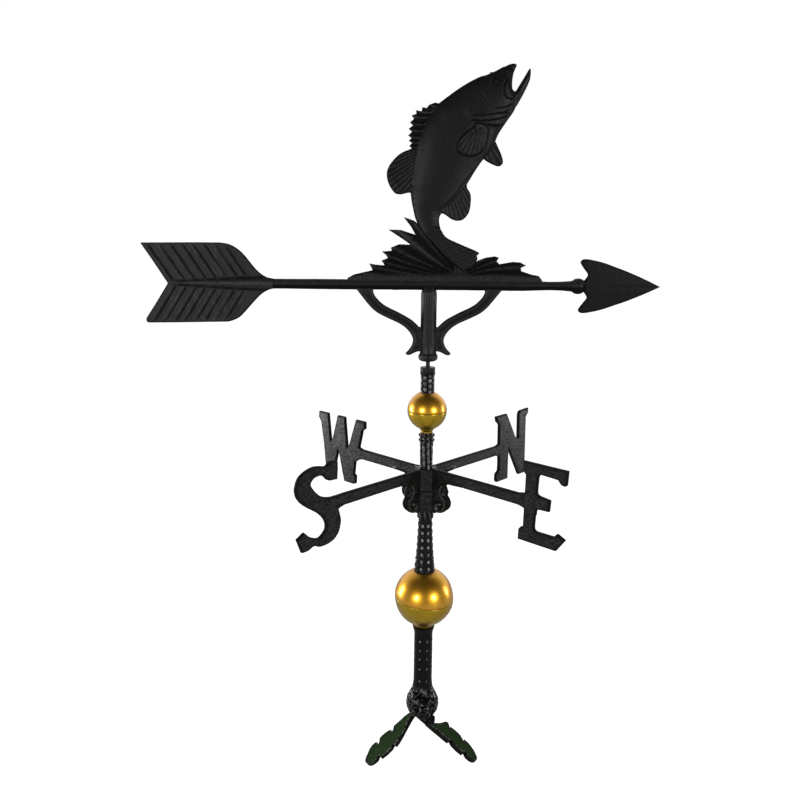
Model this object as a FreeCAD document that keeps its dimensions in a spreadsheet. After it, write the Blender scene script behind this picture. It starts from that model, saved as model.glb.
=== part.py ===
import FreeCAD, Part
import math
import os
from FreeCAD import Placement, Rotation, Vector

# A roof-ridge weathervane. The origin is where the roof's ridge lies, under the pivot bolt.
# +Z runs up the spindle, +X is the way the arrow points at rest, and -Y is the front.

doc = FreeCAD.newDocument("weathervane")

# Driving dimensions, in millimetres, degrees for the two angles
SIZES = [
    ("rod_dia", 9.5, "steel spindle rod"),
    ("rod_clearance", 0.25, "round the rod in a casting, on the radius"),
    ("seat_clearance", 0.02, "round a pressed or screwed piece, on the radius"),
    ("running_gap", 0.1, "between faces that turn on each other"),
    ("cut_overrun", 1.0, "how far a cutting shape passes the wall it cuts"),
    ("stud_dia", 6.0, "threaded foot of the pivot pin"),
    ("stud_length", 14.0, "threaded foot of the pivot pin"),
    ("pin_dia", 4.6, "the pin that the arrow turns on"),
    ("pin_clearance", 0.08, "pin in its bushes, on the radius"),
    ("pin_collar_dia", 16.3, "round collar under the pin"),
    ("pin_collar_height", 4.7, "round collar under the pin"),
    ("bearing_ball_dia", 9.0, "thrust ball on top of the pin"),
    ("upper_bush_length", 12.0, "sleeve below the thrust ball"),
    ("lower_bush_length", 11.0, "sleeve at the bell"),
    ("roof_pitch", 43.5, "slope that the legs are set to, degrees"),
    ("compass_turn", 44.0, "arm E lies this far in front of the arrow, degrees"),
    ("foot_drop", 10.0, "pivot axis above a leg's underside"),
    ("pivot_bolt_dia", 5.0, "bolt through the ball knuckle"),
    ("pivot_clearance", 0.05, "bolt in the legs, on the radius"),
    ("bolt_head_dia", 9.4, "round head of the pivot bolt"),
    ("bolt_head_height", 3.0, "round head of the pivot bolt"),
    ("bolt_tail", 2.0, "bolt thread that passes the nut"),
    ("slot_width", 1.2, "screwdriver slot"),
    ("slot_depth", 1.2, "screwdriver slot"),
    ("nut_flats", 8.0, "across the flats of the pivot nut"),
    ("nut_height", 4.0, "pivot nut"),
    ("washer_dia", 10.0, "washers of the pivot bolt"),
    ("washer_height", 1.0, "washers of the pivot bolt"),
    ("lock_washer_dia", 8.8, "spring washer under the nut"),
    ("lock_washer_height", 1.2, "spring washer under the nut"),
    ("spotface_dia", 11.6, "flat seat for a washer in a leg's cheek"),
    ("knuckle_dia", 39.6, "ball knuckle"),
    ("knuckle_rise", 6.0, "centre of the ball above the pivot"),
    ("knuckle_web", 18.0, "middle slice of the ball, on the base column"),
    ("cheek_gap", 0.3, "between the middle slice and a leg's cheek"),
    ("cheek_width", 7.4, "a leg's cheek at the pivot, under the bolt's washer"),
    ("cheek_trim", 0.6, "cheek's edge inside the ball's outline"),
    ("rod_floor", 13.0, "foot of the rod's hole above the ball's centre"),
    ("base_column_dia", 21.0, "tube over the ball"),
    ("base_column_height", 99.0, "from the ball's centre to the rim"),
    ("base_flare_dia", 27.0, "where the tube spreads onto the ball"),
    ("base_flare_foot", 13.0, "flare's foot above the ball's centre"),
    ("base_flare_height", 14.0, "flare onto the ball"),
    ("base_rim_dia", 25.2, "rim under the large globe"),
    ("base_rim_height", 1.6, "rim under the large globe"),
    ("base_rim_taper", 4.6, "cone under the rim"),
    ("globe_wall", 1.2, "spun metal of the globes"),
    ("large_globe_dia", 69.0, "large globe"),
    ("large_globe_neck_dia", 21.6, "spun neck under the large globe"),
    ("large_globe_neck_height", 5.0, "neck that shows under the large globe"),
    ("lower_column_dia", 16.6, "knobbed tube"),
    ("lower_column_height", 74.7, "from the large globe to the hub"),
    ("lower_foot_dia", 21.4, "flared foot on the large globe"),
    ("lower_foot_height", 28.0, "flared foot on the large globe"),
    ("lower_collar_dia", 19.9, "collar under the hub"),
    ("lower_collar_height", 8.4, "collar under the hub"),
    ("hub_dia", 19.5, "half hubs of the letter castings"),
    ("hub_half_height", 25.0, "one half hub"),
    ("hub_lap_gap", 0.3, "between one casting's web and the other's hub"),
    ("web_reach", 38.0, "leaf scrolls at the hub, from the axis"),
    ("web_thickness", 6.4, "leaf scrolls at the hub"),
    ("arm_height", 12.2, "arms that carry the letters"),
    ("arm_thickness", 5.0, "arms that carry the letters"),
    ("letter_height", 84.0, "letters"),
    ("letter_thickness", 4.2, "letters"),
    ("letter_start", 128.0, "axis to the near edge of E, N and S"),
    ("w_start", 99.5, "axis to the near edge of W"),
    ("e_width", 54.0, "letter E"),
    ("n_width", 71.0, "letter N"),
    ("s_width", 56.0, "letter S"),
    ("w_width", 88.0, "letter W"),
    ("grub_dia", 5.0, "grub screws of the hubs"),
    ("middle_column_dia", 15.6, "tube over the hub"),
    ("middle_column_height", 41.0, "from the hub to the small globe"),
    ("ring_dia", 18.8, "rings at the top of the middle column"),
    ("ring_height", 4.4, "one ring"),
    ("ring_gap", 1.2, "groove between the rings"),
    ("small_globe_dia", 44.0, "small globe"),
    ("small_globe_neck_dia", 12.8, "spun neck under the small globe"),
    ("small_globe_neck_height", 3.5, "neck that shows under the small globe"),
    ("upper_column_dia", 15.4, "tube over the small globe"),
    ("upper_column_height", 23.4, "from the small globe to the pin's collar"),
    ("bell_gap", 7.0, "bare pin between the collar and the bell"),
    ("bell_dia", 21.4, "bell at the foot of the socket"),
    ("bell_mouth_dia", 13.0, "rounded-in mouth of the bell"),
    ("bell_mouth_height", 3.6, "from the mouth to the widest part"),
    ("bell_shoulder_height", 5.4, "from the widest part to the tube"),
    ("socket_dia", 17.2, "vertical socket of the arrow"),
    ("socket_height", 82.3, "from the bell's mouth to the shaft's centre"),
    ("socket_roof", 3.0, "shaft's centre above the top of the bore"),
    ("socket_bore_dia", 9.2, "bore of the socket"),
    ("shaft_dia", 11.0, "arrow shaft"),
    ("shaft_flat", 0.7, "flat filed on the shaft for the ornament"),
    ("tail_reach", 307.5, "axis to the tips of the fletching"),
    ("fletch_length", 139.0, "fletching"),
    ("fletch_height", 84.6, "fletching, tip to tip"),
    ("fletch_thickness", 4.2, "fletching"),
    ("quill_tip_dia", 3.4, "quill at the notch"),
    ("head_reach", 248.0, "axis to the arrow's point"),
    ("head_length", 86.7, "arrow's point to its barbs"),
    ("head_height", 57.0, "across the barbs"),
    ("head_thickness", 4.6, "blade of the head"),
    ("head_ridge_tip_dia", 2.0, "ridge of the head near its point"),
    ("ferrule_dia", 16.4, "bulge behind the head"),
    ("ferrule_length", 6.0, "bulge behind the head"),
    ("shaft_swell_length", 60.0, "tapered swelling behind the ferrule"),
    ("shaft_swell_dia", 13.0, "swelling at the ferrule"),
    ("bracket_reach", 86.0, "axis to the outer root of a bracket"),
    ("bracket_drop", 70.0, "bracket, from the shaft's underside to its toe"),
    ("bracket_thickness", 7.4, "brackets"),
    ("ornament_length", 207.0, "ornament, along the shaft"),
    ("ornament_height", 215.0, "ornament, from the shaft"),
    ("body_thickness", 18.0, "bass's body, through"),
    ("fin_thickness", 4.0, "fins and tail of the bass"),
    ("jaw_thickness", 6.4, "lower jaw"),
    ("splash_thickness", 7.6, "reeds"),
    ("ornament_screw_dia", 4.0, "ornament screws"),
    ("ornament_screw_bite", 10.0, "thread in the ornament"),
    ("screw_head_dia", 7.2, "countersunk head"),
    ("screw_head_height", 2.2, "countersunk head"),
    ("rear_screw_reach", 36.0, "screw behind the socket"),
    ("front_screw_reach", 87.0, "screw before the socket"),
    ("leg_length", 101.4, "pivot to a leaf's tip, along the slope"),
    ("leg_width", 34.4, "leaf"),
    ("leaf_offset", 3.7, "leaf's middle line, from the pivot's middle away from its cheek"),
    ("leg_thickness", 5.0, "leaf"),
    ("leg_root", 20.0, "pivot to the leaf's root, along the slope"),
    ("apron_width", 17.0, "web that joins a cheek to its leaf, along the slope"),
    ("apron_thickness", 4.9, "web that joins a cheek to its leaf"),
    ("foot_screw_dia", 5.0, "roof screw holes"),
    ("foot_screw_head_dia", 9.0, "countersink of the roof screw holes"),
    ("foot_screw_near", 44.0, "pivot to the upper roof screw, along the slope"),
    ("foot_screw_pitch", 44.0, "between the two roof screws"),
]

sheet = doc.addObject("Spreadsheet::Sheet", "Sizes")
for row, (alias, value, note) in enumerate(SIZES, start=1):
    sheet.set("A%d" % row, alias)
    sheet.set("B%d" % row, str(value))
    sheet.set("C%d" % row, note)
    sheet.setAlias("B%d" % row, alias)
doc.recompute()

# Heights worked out from the sizes, from the ridge upwards
LEVELS = [
    ("pivot", "=Sizes.foot_drop / cos(Sizes.roof_pitch)"),
    ("knuckle", "=pivot + Sizes.knuckle_rise"),
    ("rod_bottom", "=knuckle + Sizes.rod_floor"),
    ("base_top", "=knuckle + Sizes.base_column_height"),
    ("large_globe", "=base_top + Sizes.large_globe_neck_height + Sizes.large_globe_dia / 2"),
    ("large_globe_top",
     "=large_globe + sqrt((Sizes.large_globe_dia / 2)^2 - (Sizes.lower_foot_dia / 2)^2)"),
    ("hub_bottom", "=large_globe_top + Sizes.lower_column_height"),
    ("hub_middle", "=hub_bottom + Sizes.hub_half_height"),
    ("hub_top", "=hub_middle + Sizes.hub_half_height"),
    ("middle_top", "=hub_top + Sizes.middle_column_height"),
    ("small_globe", "=middle_top + Sizes.small_globe_neck_height + Sizes.small_globe_dia / 2"),
    ("small_globe_top",
     "=small_globe + sqrt((Sizes.small_globe_dia / 2)^2 - (Sizes.upper_column_dia / 2)^2)"),
    ("upper_top", "=small_globe_top + Sizes.upper_column_height"),
    ("collar_top", "=upper_top + Sizes.pin_collar_height"),
    ("bell_mouth", "=collar_top + Sizes.bell_gap"),
    ("shaft", "=bell_mouth + Sizes.socket_height"),
    ("bore_roof", "=shaft - Sizes.socket_roof"),
    ("pin_top", "=bore_roof - Sizes.bearing_ball_dia - Sizes.running_gap / 2"),
    ("ornament", "=shaft + Sizes.shaft_dia / 2 - Sizes.shaft_flat"),
]

levels = doc.addObject("Spreadsheet::Sheet", "Levels")
for row, (alias, formula) in enumerate(LEVELS, start=1):
    levels.set("A%d" % row, alias)
    levels.set("B%d" % row, formula)
    levels.setAlias("B%d" % row, alias)
doc.recompute()


def size(alias):
    return float(sheet.get(alias))


def level(alias):
    return float(levels.get(alias))


AXIS_Y = Rotation(Vector(1, 0, 0), -90)
AXIS_X = Rotation(Vector(0, 1, 0), 90)
parts = []


# Bound primitives: radii, heights and places are expressions on the two sheets
def bind(obj, values, base, rotation=None):
    if rotation is not None:
        obj.Placement = Placement(Vector(0, 0, 0), rotation)
    for prop, expression in values.items():
        obj.setExpression(prop, expression)
    for letter, expression in base.items():
        obj.setExpression("Placement.Base." + letter, expression)
    return obj


def cylinder(name, radius, height, rotation=None, **base):
    obj = doc.addObject("Part::Cylinder", name)
    return bind(obj, {"Radius": radius, "Height": height}, base, rotation)


def cone(name, radius_low, radius_high, height, rotation=None, **base):
    obj = doc.addObject("Part::Cone", name)
    values = {"Radius1": radius_low, "Radius2": radius_high, "Height": height}
    return bind(obj, values, base, rotation)


def ball(name, radius, **base):
    return bind(doc.addObject("Part::Sphere", name), {"Radius": radius}, base)


def box(name, length, width, height, **base):
    obj = doc.addObject("Part::Box", name)
    return bind(obj, {"Length": length, "Width": width, "Height": height}, base)


def fuse(name, shapes):
    obj = doc.addObject("Part::MultiFuse", name)
    obj.Shapes = shapes
    obj.Refine = True
    return obj


def common(name, shapes):
    obj = doc.addObject("Part::MultiCommon", name)
    obj.Shapes = shapes
    return obj


def cut(name, base, tool):
    obj = doc.addObject("Part::Cut", name)
    obj.Base = base
    obj.Tool = tool
    return obj


def keep(obj, label):
    obj.Label = label
    parts.append(obj)
    return obj


def keep_shape(label, shape, placement=None):
    obj = doc.addObject("Part::Feature", label + "_solid")
    obj.Shape = shape
    if placement is not None:
        obj.Placement = placement
    return keep(obj, label)


ROD_HOLE = "Sizes.rod_dia / 2 + Sizes.rod_clearance"


# Spindle: rod, pivot pin, bushes and thrust ball
def make_spindle():
    rod = cylinder("rod_bar", "Sizes.rod_dia / 2", "Levels.upper_top - Levels.rod_bottom",
                   z="Levels.rod_bottom")
    rod_hole = cylinder("rod_stud_hole", "Sizes.stud_dia / 2 + Sizes.seat_clearance",
                        "Sizes.stud_length + Sizes.seat_clearance + Sizes.cut_overrun",
                        z="Levels.upper_top - Sizes.stud_length - Sizes.seat_clearance")
    keep(cut("rod", rod, rod_hole), "spindle_rod")

    stud = cylinder("pin_stud", "Sizes.stud_dia / 2", "Sizes.stud_length + Sizes.pin_collar_height",
                    z="Levels.upper_top - Sizes.stud_length")
    collar = cylinder("pin_collar", "Sizes.pin_collar_dia / 2", "Sizes.pin_collar_height",
                      z="Levels.upper_top")
    pin = cylinder("pin_bar", "Sizes.pin_dia / 2", "Levels.pin_top - Levels.upper_top",
                   z="Levels.upper_top")
    keep(fuse("pin", [stud, collar, pin]), "pivot_pin")

    keep(ball("bearing_ball", "Sizes.bearing_ball_dia / 2",
              z="Levels.bore_roof - Sizes.bearing_ball_dia / 2"), "thrust_ball")

    for name, foot, length in (
            ("lower_bush", "Levels.bell_mouth", "Sizes.lower_bush_length"),
            ("upper_bush", "Levels.pin_top - Sizes.upper_bush_length - Sizes.running_gap",
             "Sizes.upper_bush_length")):
        sleeve = cylinder(name + "_sleeve", "Sizes.socket_bore_dia / 2 - Sizes.seat_clearance",
                          length, z=foot)
        hole = cylinder(name + "_hole", "Sizes.pin_dia / 2 + Sizes.pin_clearance",
                        length + " + 2 * Sizes.cut_overrun", z=foot + " - Sizes.cut_overrun")
        keep(cut(name + "_cut", sleeve, hole), name)


# Turned and cast columns, each bored for the rod
def bored(name, shapes, foot, height, label):
    body = fuse(name + "_body", shapes) if len(shapes) > 1 else shapes[0]
    hole = cylinder(name + "_bore", ROD_HOLE, height + " + 2 * Sizes.cut_overrun",
                    z=foot + " - Sizes.cut_overrun")
    return keep(cut(name, body, hole), label)


def make_columns():
    tube = cylinder("upper_tube", "Sizes.upper_column_dia / 2", "Sizes.upper_column_height",
                    z="Levels.small_globe_top")
    bored("upper_col", [tube], "Levels.small_globe_top", "Sizes.upper_column_height",
          "upper_column")

    tube = cylinder("middle_tube", "Sizes.middle_column_dia / 2", "Sizes.middle_column_height",
                    z="Levels.hub_top")
    ring_high = cylinder("middle_ring_high", "Sizes.ring_dia / 2", "Sizes.ring_height",
                         z="Levels.middle_top - Sizes.ring_height")
    ring_low = cylinder("middle_ring_low", "Sizes.ring_dia / 2", "Sizes.ring_height",
                        z="Levels.middle_top - 2 * Sizes.ring_height - Sizes.ring_gap")
    bored("middle_col", [tube, ring_high, ring_low], "Levels.hub_top",
          "Sizes.middle_column_height", "middle_column")

    tube = cylinder("lower_tube", "Sizes.lower_column_dia / 2", "Sizes.lower_column_height",
                    z="Levels.large_globe_top")
    foot = cone("lower_foot", "Sizes.lower_foot_dia / 2", "Sizes.lower_column_dia / 2",
                "Sizes.lower_foot_height", z="Levels.large_globe_top")
    collar = cylinder("lower_collar", "Sizes.lower_collar_dia / 2", "Sizes.lower_collar_height",
                      z="Levels.hub_bottom - Sizes.lower_collar_height")
    bored("lower_col", [tube, foot, collar], "Levels.large_globe_top",
          "Sizes.lower_column_height", "lower_column")


# Base column: tube, flare and the middle slice of the ball knuckle
def make_base_column():
    tube = cylinder("base_tube", "Sizes.base_column_dia / 2",
                    "Sizes.base_column_height - Sizes.base_flare_foot",
                    z="Levels.knuckle + Sizes.base_flare_foot")
    rim = cylinder("base_rim", "Sizes.base_rim_dia / 2", "Sizes.base_rim_height",
                   z="Levels.base_top - Sizes.base_rim_height")
    taper = cone("base_rim_taper", "Sizes.base_column_dia / 2", "Sizes.base_rim_dia / 2",
                 "Sizes.base_rim_taper",
                 z="Levels.base_top - Sizes.base_rim_height - Sizes.base_rim_taper")
    flare = cone("base_flare", "Sizes.base_flare_dia / 2", "Sizes.base_column_dia / 2",
                 "Sizes.base_flare_height", z="Levels.knuckle + Sizes.base_flare_foot")
    sphere = ball("base_ball", "Sizes.knuckle_dia / 2", z="Levels.knuckle")
    body = fuse("base_body", [tube, rim, taper, flare, sphere])
    sides = []
    for name, place in (("base_side_rear", "Sizes.knuckle_web / 2"),
                        ("base_side_front", "-Sizes.knuckle_web / 2 - Sizes.knuckle_dia")):
        sides.append(box(name, "2 * Sizes.knuckle_dia", "Sizes.knuckle_dia",
                         "Sizes.knuckle_dia + Sizes.cheek_gap",
                         x="-Sizes.knuckle_dia", y=place,
                         z="Levels.knuckle - Sizes.knuckle_dia / 2"))
    bore = cylinder("base_bore", ROD_HOLE, "Levels.base_top - Levels.rod_bottom + Sizes.cut_overrun",
                    z="Levels.rod_bottom")
    pivot = cylinder("base_pivot_hole", "Sizes.pivot_bolt_dia / 2 + Sizes.seat_clearance",
                     "2 * Sizes.knuckle_dia", rotation=AXIS_Y, y="-Sizes.knuckle_dia",
                     z="Levels.pivot")
    tools = fuse("base_tools", sides + [bore, pivot])
    keep(cut("base", body, tools), "base_column")


# Globes: two spun halves each, flat at the top pole, with a short neck below
def make_globe(name, centre, radius, neck_radius, neck_foot, pole):
    outer = ball(name + "_outer", radius, z=centre)
    neck = cylinder(name + "_neck", neck_radius, centre + " - (" + neck_foot + ")", z=neck_foot)
    full = fuse(name + "_full", [outer, neck])
    inner = ball(name + "_inner", radius + " - Sizes.globe_wall", z=centre)
    pole_room = box(name + "_pole_room", "4 * " + radius, "4 * " + radius, radius,
                    x="-2 * " + radius, y="-2 * " + radius, z=pole + " - Sizes.globe_wall")
    hollow = cut(name + "_hollow", inner, pole_room)
    hole = cylinder(name + "_hole", ROD_HOLE, "4 * " + radius, z=centre + " - 2 * " + radius)
    room = cylinder(name + "_neck_room", neck_radius + " - Sizes.globe_wall",
                    centre + " - (" + neck_foot + ") - Sizes.globe_wall",
                    z=neck_foot + " + Sizes.globe_wall")
    shell = cut(name + "_shell", full, fuse(name + "_rooms", [hollow, hole, room]))
    for half, foot, height in (
            ("lower", neck_foot + " - Sizes.cut_overrun",
             centre + " - (" + neck_foot + ") + Sizes.cut_overrun"),
            ("upper", centre, pole + " - (" + centre + ")")):
        slab = box(name + "_" + half + "_slab", "4 * " + radius, "4 * " + radius, height,
                   x="-2 * " + radius, y="-2 * " + radius, z=foot)
        keep(common(name + "_" + half + "_half", [shell, slab]), name + "_" + half)


def make_globes():
    make_globe("large_globe", "Levels.large_globe", "Sizes.large_globe_dia / 2",
               "Sizes.large_globe_neck_dia / 2", "Levels.base_top", "Levels.large_globe_top")
    make_globe("small_globe", "Levels.small_globe", "Sizes.small_globe_dia / 2",
               "Sizes.small_globe_neck_dia / 2", "Levels.middle_top", "Levels.small_globe_top")


# Fasteners of the ball knuckle
CHEEK_FACE = "Sizes.knuckle_web / 2 + Sizes.cheek_gap + Sizes.cheek_width"


def make_pivot_fasteners():
    head_seat = CHEEK_FACE + " + Sizes.running_gap + Sizes.washer_height"
    nut_seat = head_seat + " + Sizes.lock_washer_height"
    grip = "2 * (" + head_seat + ") + Sizes.lock_washer_height + Sizes.nut_height + Sizes.bolt_tail"
    shank = cylinder("bolt_shank", "Sizes.pivot_bolt_dia / 2", grip, rotation=AXIS_Y,
                     y="-(" + head_seat + ")", z="Levels.pivot")
    head = cylinder("bolt_head", "Sizes.bolt_head_dia / 2", "Sizes.bolt_head_height",
                    rotation=AXIS_Y, y="-(" + head_seat + ") - Sizes.bolt_head_height",
                    z="Levels.pivot")
    slot = box("bolt_slot", "Sizes.bolt_head_dia", "Sizes.slot_depth", "Sizes.slot_width",
               x="-Sizes.bolt_head_dia / 2", y="-(" + head_seat + ") - Sizes.bolt_head_height",
               z="Levels.pivot - Sizes.slot_width / 2")
    keep(cut("bolt", fuse("bolt_body", [shank, head]), slot), "pivot_bolt")

    discs = []
    for name, place in (("washer_front", "-(" + head_seat + ")"),
                        ("washer_rear", CHEEK_FACE + " + Sizes.running_gap")):
        discs.append(cylinder(name, "Sizes.washer_dia / 2", "Sizes.washer_height",
                              rotation=AXIS_Y, y=place, z="Levels.pivot"))
    hole = cylinder("washer_hole", "Sizes.pivot_bolt_dia / 2 + Sizes.seat_clearance",
                    "2 * Sizes.knuckle_dia", rotation=AXIS_Y, y="-Sizes.knuckle_dia",
                    z="Levels.pivot")
    keep(cut("washers", fuse("washer_pair", discs), hole), "pivot_washers")

    disc = cylinder("lock_disc", "Sizes.lock_washer_dia / 2", "Sizes.lock_washer_height",
                    rotation=AXIS_Y, y=head_seat, z="Levels.pivot")
    lock_hole = cylinder("lock_hole", "Sizes.pivot_bolt_dia / 2 + Sizes.seat_clearance",
                         "2 * Sizes.knuckle_dia", rotation=AXIS_Y, y="-Sizes.knuckle_dia",
                         z="Levels.pivot")
    keep(cut("lock_washer", disc, lock_hole), "pivot_lock_washer")

    hexagon = doc.addObject("Part::Prism", "nut_hexagon")
    hexagon.Polygon = 6
    bind(hexagon, {"Circumradius": "Sizes.nut_flats / sqrt(3)", "Height": "Sizes.nut_height"},
         {"y": nut_seat, "z": "Levels.pivot"}, AXIS_Y)
    nut_hole = cylinder("nut_hole", "Sizes.pivot_bolt_dia / 2 + Sizes.seat_clearance",
                        "2 * Sizes.knuckle_dia", rotation=AXIS_Y, y="-Sizes.knuckle_dia",
                        z="Levels.pivot")
    keep(cut("nut", hexagon, nut_hole), "pivot_nut")


# Outlines. Each is a list of runs; a run joins onto the last point of the run before.
LINE = "line"
CURVE = "curve"


def outline_face(runs, place):
    edges = []
    first = None
    last = None
    for style, points in runs:
        spots = [place(u, v) for u, v in points]
        if last is not None:
            spots = [last] + spots
        else:
            first = spots[0]
        if style == LINE:
            edges += [Part.LineSegment(a, b).toShape() for a, b in zip(spots, spots[1:])]
        else:
            spline = Part.BSplineCurve()
            spline.interpolate(spots)
            edges.append(spline.toShape())
        last = spots[-1]
    if last.distanceToPoint(first) > size("seat_clearance"):
        edges.append(Part.LineSegment(last, first).toShape())
    return Part.Face(Part.Wire(edges))


def upright_plate(runs, place, thickness):
    face = outline_face(runs, place)
    face.translate(Vector(0, -thickness / 2, 0))
    return face.extrude(Vector(0, thickness, 0))


def solid_box(low, high):
    return Part.makeBox(high.x - low.x, high.y - low.y, high.z - low.z, low)


# Letters: shares of the letter's own width, outwards from the axis, and of its height
LETTER_E_SHARES = [
    (LINE, [(.056, 1.0), (.993, 1.0), (.978, .826), (.948, .811), (.870, .818), (.800, .868),
            (.454, .879), (.389, .838), (.372, .639), (.437, .618), (.661, .599), (.646, .456),
            (.437, .449), (.359, .393), (.343, .188), (.407, .168), (.761, .170), (.835, .219),
            (1.0, .169), (.822, .006), (.002, .0), (.006, .135), (.054, .173), (.104, .176),
            (.120, .838), (.069, .869)]),
]
LETTER_N_SHARES = [
    (LINE, [(.006, 1.03), (.324, 1.035), (.465, .842), (.623, .62), (.704, .608), (.690, .982),
            (.725, 1.03), (.993, 1.045), (.986, .965), (.923, .915), (.937, .524), (.951, .036),
            (.930, .0), (.765, .0), (.411, .486), (.415, .0), (.085, .0), (.056, .036),
            (.059, .130), (.134, .173), (.138, .305), (.124, .415), (.118, .638), (.110, .896),
            (.030, .951)]),
]
LETTER_W_SHARES = [
    (LINE, [(.006, 1.0), (.188, 1.0), (.331, .599), (.376, .536), (.425, 1.0), (.576, 1.0),
            (.690, .626), (.738, .571), (.786, 1.0), (.989, 1.0), (.998, .914), (.949, .845),
            (.891, .507), (.841, .060), (.812, .0), (.693, .0), (.641, .224), (.574, .461),
            (.551, .421), (.486, .146), (.442, .0), (.245, .0), (.208, .018), (.200, .137),
            (.236, .161), (.206, .387), (.153, .417), (.124, .598), (.059, .855), (.001, .898)]),
]
LETTER_S_SHARES = [
    (CURVE, [(.340, .964), (.462, .982), (.611, .992), (.775, .966), (.922, .905), (.987, .813),
             (.993, .735), (.947, .653), (.833, .568), (.687, .495), (.524, .419), (.404, .333),
             (.351, .253), (.360, .195), (.407, .152), (.487, .116), (.573, .119), (.715, .168),
             (.824, .238)]),
    (LINE, [(.987, .180), (.902, .025), (.858, .002)]),
    (CURVE, [(.745, .004), (.627, .036)]),
    (CURVE, [(.505, .002), (.333, .0), (.173, .034), (.058, .112), (.007, .238), (.036, .341),
             (.053, .394)]),
    (LINE, [(.030, .440), (.030, .597), (.318, .588)]),
    (CURVE, [(.471, .626), (.576, .691), (.658, .764), (.669, .812), (.600, .858), (.491, .871),
             (.435, .865), (.375, .840), (.313, .795)]),
    (LINE, [(.251, .778), (.085, .778), (.067, .893)]),
    (CURVE, [(.091, .965), (.155, 1.0), (.255, 1.0), (.340, .964)]),
]
# Leaf scroll beside a hub: shares of its reach and of the whole hub's height, from the foot
SCROLL_SHARES = [
    (LINE, [(.0, 1.0), (1.42, 1.0), (1.42, .775)]),
    (CURVE, [(1.16, .745), (1.04, .700), (1.0, .640), (.98, .540), (.92, .410)]),
    (CURVE, [(.99, .320), (.96, .180), (.82, .060), (.66, .005)]),
    (CURVE, [(.55, -.005), (.45, .010), (.30, .020)]),
    (LINE, [(.0, .020)]),
]


def letter_plate(runs, start, width, side):
    foot = level("hub_top") - size("arm_height") / 2 - size("letter_height") / 2

    def place(u, v):
        return Vector(side * (start + u * width), 0, foot + v * size("letter_height"))
    return upright_plate(runs, place, size("letter_thickness"))


def scroll_plate(side):
    full = 2 * size("hub_half_height")

    def place(u, v):
        return Vector(side * u * size("web_reach"), 0, level("hub_bottom") + v * full)
    return upright_plate(SCROLL_SHARES, place, size("web_thickness"))


def arm_bar(start, width, side):
    near = 0
    far = side * (start + ARM_ROOT_SHARE * width)
    half = size("arm_thickness") / 2
    low = Vector(min(near, far), -half, level("hub_top") - size("arm_height"))
    return solid_box(low, Vector(max(near, far), half, level("hub_top")))


ARM_ROOT_SHARE = .2
GRUB_DEPTH_SHARE = .5


def make_directional(label, turn, letters, own_foot, other_foot):
    solids = [Part.makeCylinder(size("hub_dia") / 2, size("hub_half_height"),
                                Vector(0, 0, own_foot))]
    for runs, start, width, side in letters:
        solids += [letter_plate(runs, start, width, side), arm_bar(start, width, side),
                   scroll_plate(side)]
    shape = solids[0].multiFuse(solids[1:])
    over = size("cut_overrun")
    clear = size("hub_dia") / 2 + size("hub_lap_gap")
    other_low = other_foot if other_foot > own_foot else other_foot - over
    lap = Part.makeCylinder(clear, size("hub_half_height") + over, Vector(0, 0, other_low))
    bore = Part.makeCylinder(size("rod_dia") / 2 + size("rod_clearance"),
                             2 * size("hub_half_height") + 2 * over,
                             Vector(0, 0, level("hub_bottom") - over))
    shape = shape.cut([lap, bore])
    # The grub screw's hole faces the rear whatever way the casting is turned
    middle = Vector(0, 0, own_foot + GRUB_DEPTH_SHARE * size("hub_half_height"))
    rear = Rotation(Vector(0, 0, 1), -turn).multVec(Vector(0, 1, 0))
    hole = Part.makeCylinder(size("grub_dia") / 2 + size("seat_clearance"), size("hub_dia"),
                             middle, rear)
    shape = shape.cut(hole).removeSplitter()
    keep_shape(label, shape, Placement(Vector(0, 0, 0), Rotation(Vector(0, 0, 1), turn)))


def make_directionals():
    east = -size("compass_turn")
    low = level("hub_bottom")
    high = level("hub_middle")
    make_directional("directional_east_west", east,
                     [(LETTER_E_SHARES, size("letter_start"), size("e_width"), 1),
                      (LETTER_W_SHARES, size("w_start"), size("w_width"), -1)], high, low)
    make_directional("directional_north_south", east + 90,
                     [(LETTER_N_SHARES, size("letter_start"), size("n_width"), 1),
                      (LETTER_S_SHARES, size("letter_start"), size("s_width"), -1)], low, high)
    screws = []
    for foot in (low, high):
        start = Vector(0, size("rod_dia") / 2, foot + GRUB_DEPTH_SHARE * size("hub_half_height"))
        length = size("hub_dia") / 2 - size("rod_dia") / 2
        body = Part.makeCylinder(size("grub_dia") / 2, length, start, Vector(0, 1, 0))
        half = size("slot_width") / 2
        slot = solid_box(Vector(-size("grub_dia"), size("hub_dia") / 2 - size("slot_depth"),
                                start.z - half),
                         Vector(size("grub_dia"), size("hub_dia"), start.z + half))
        screws.append(body.cut(slot))
    keep_shape("hub_set_screws", Part.makeCompound(screws))


# Arrow: shares of the fletching's length and half height, from the tips
FLETCH_SHARES = [
    (LINE, [(.0, .975), (.655, 1.0), (.715, .930), (.800, .690), (.875, .360), (.930, .215),
            (1.0, .100), (1.0, -.100), (.930, -.215), (.875, -.400), (.800, -.720),
            (.725, -.900), (.650, -1.0), (.050, -1.0), (.0, -.960), (.195, .0)]),
]
# Shares of the head's length, back from the barbs to the point, and of its half height
HEAD_SHARES = [
    (LINE, [(.0, .880), (.025, 1.0), (.160, .970), (.355, .800), (.605, .530), (.830, .250),
            (1.0, .0), (.830, -.250), (.605, -.530), (.355, -.800), (.160, -.970),
            (.025, -1.0), (.0, -.880), (.080, -.590), (.100, -.470), (.080, -.370),
            (.040, -.300), (.040, .300), (.080, .370), (.100, .470), (.080, .590)]),
]
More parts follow.
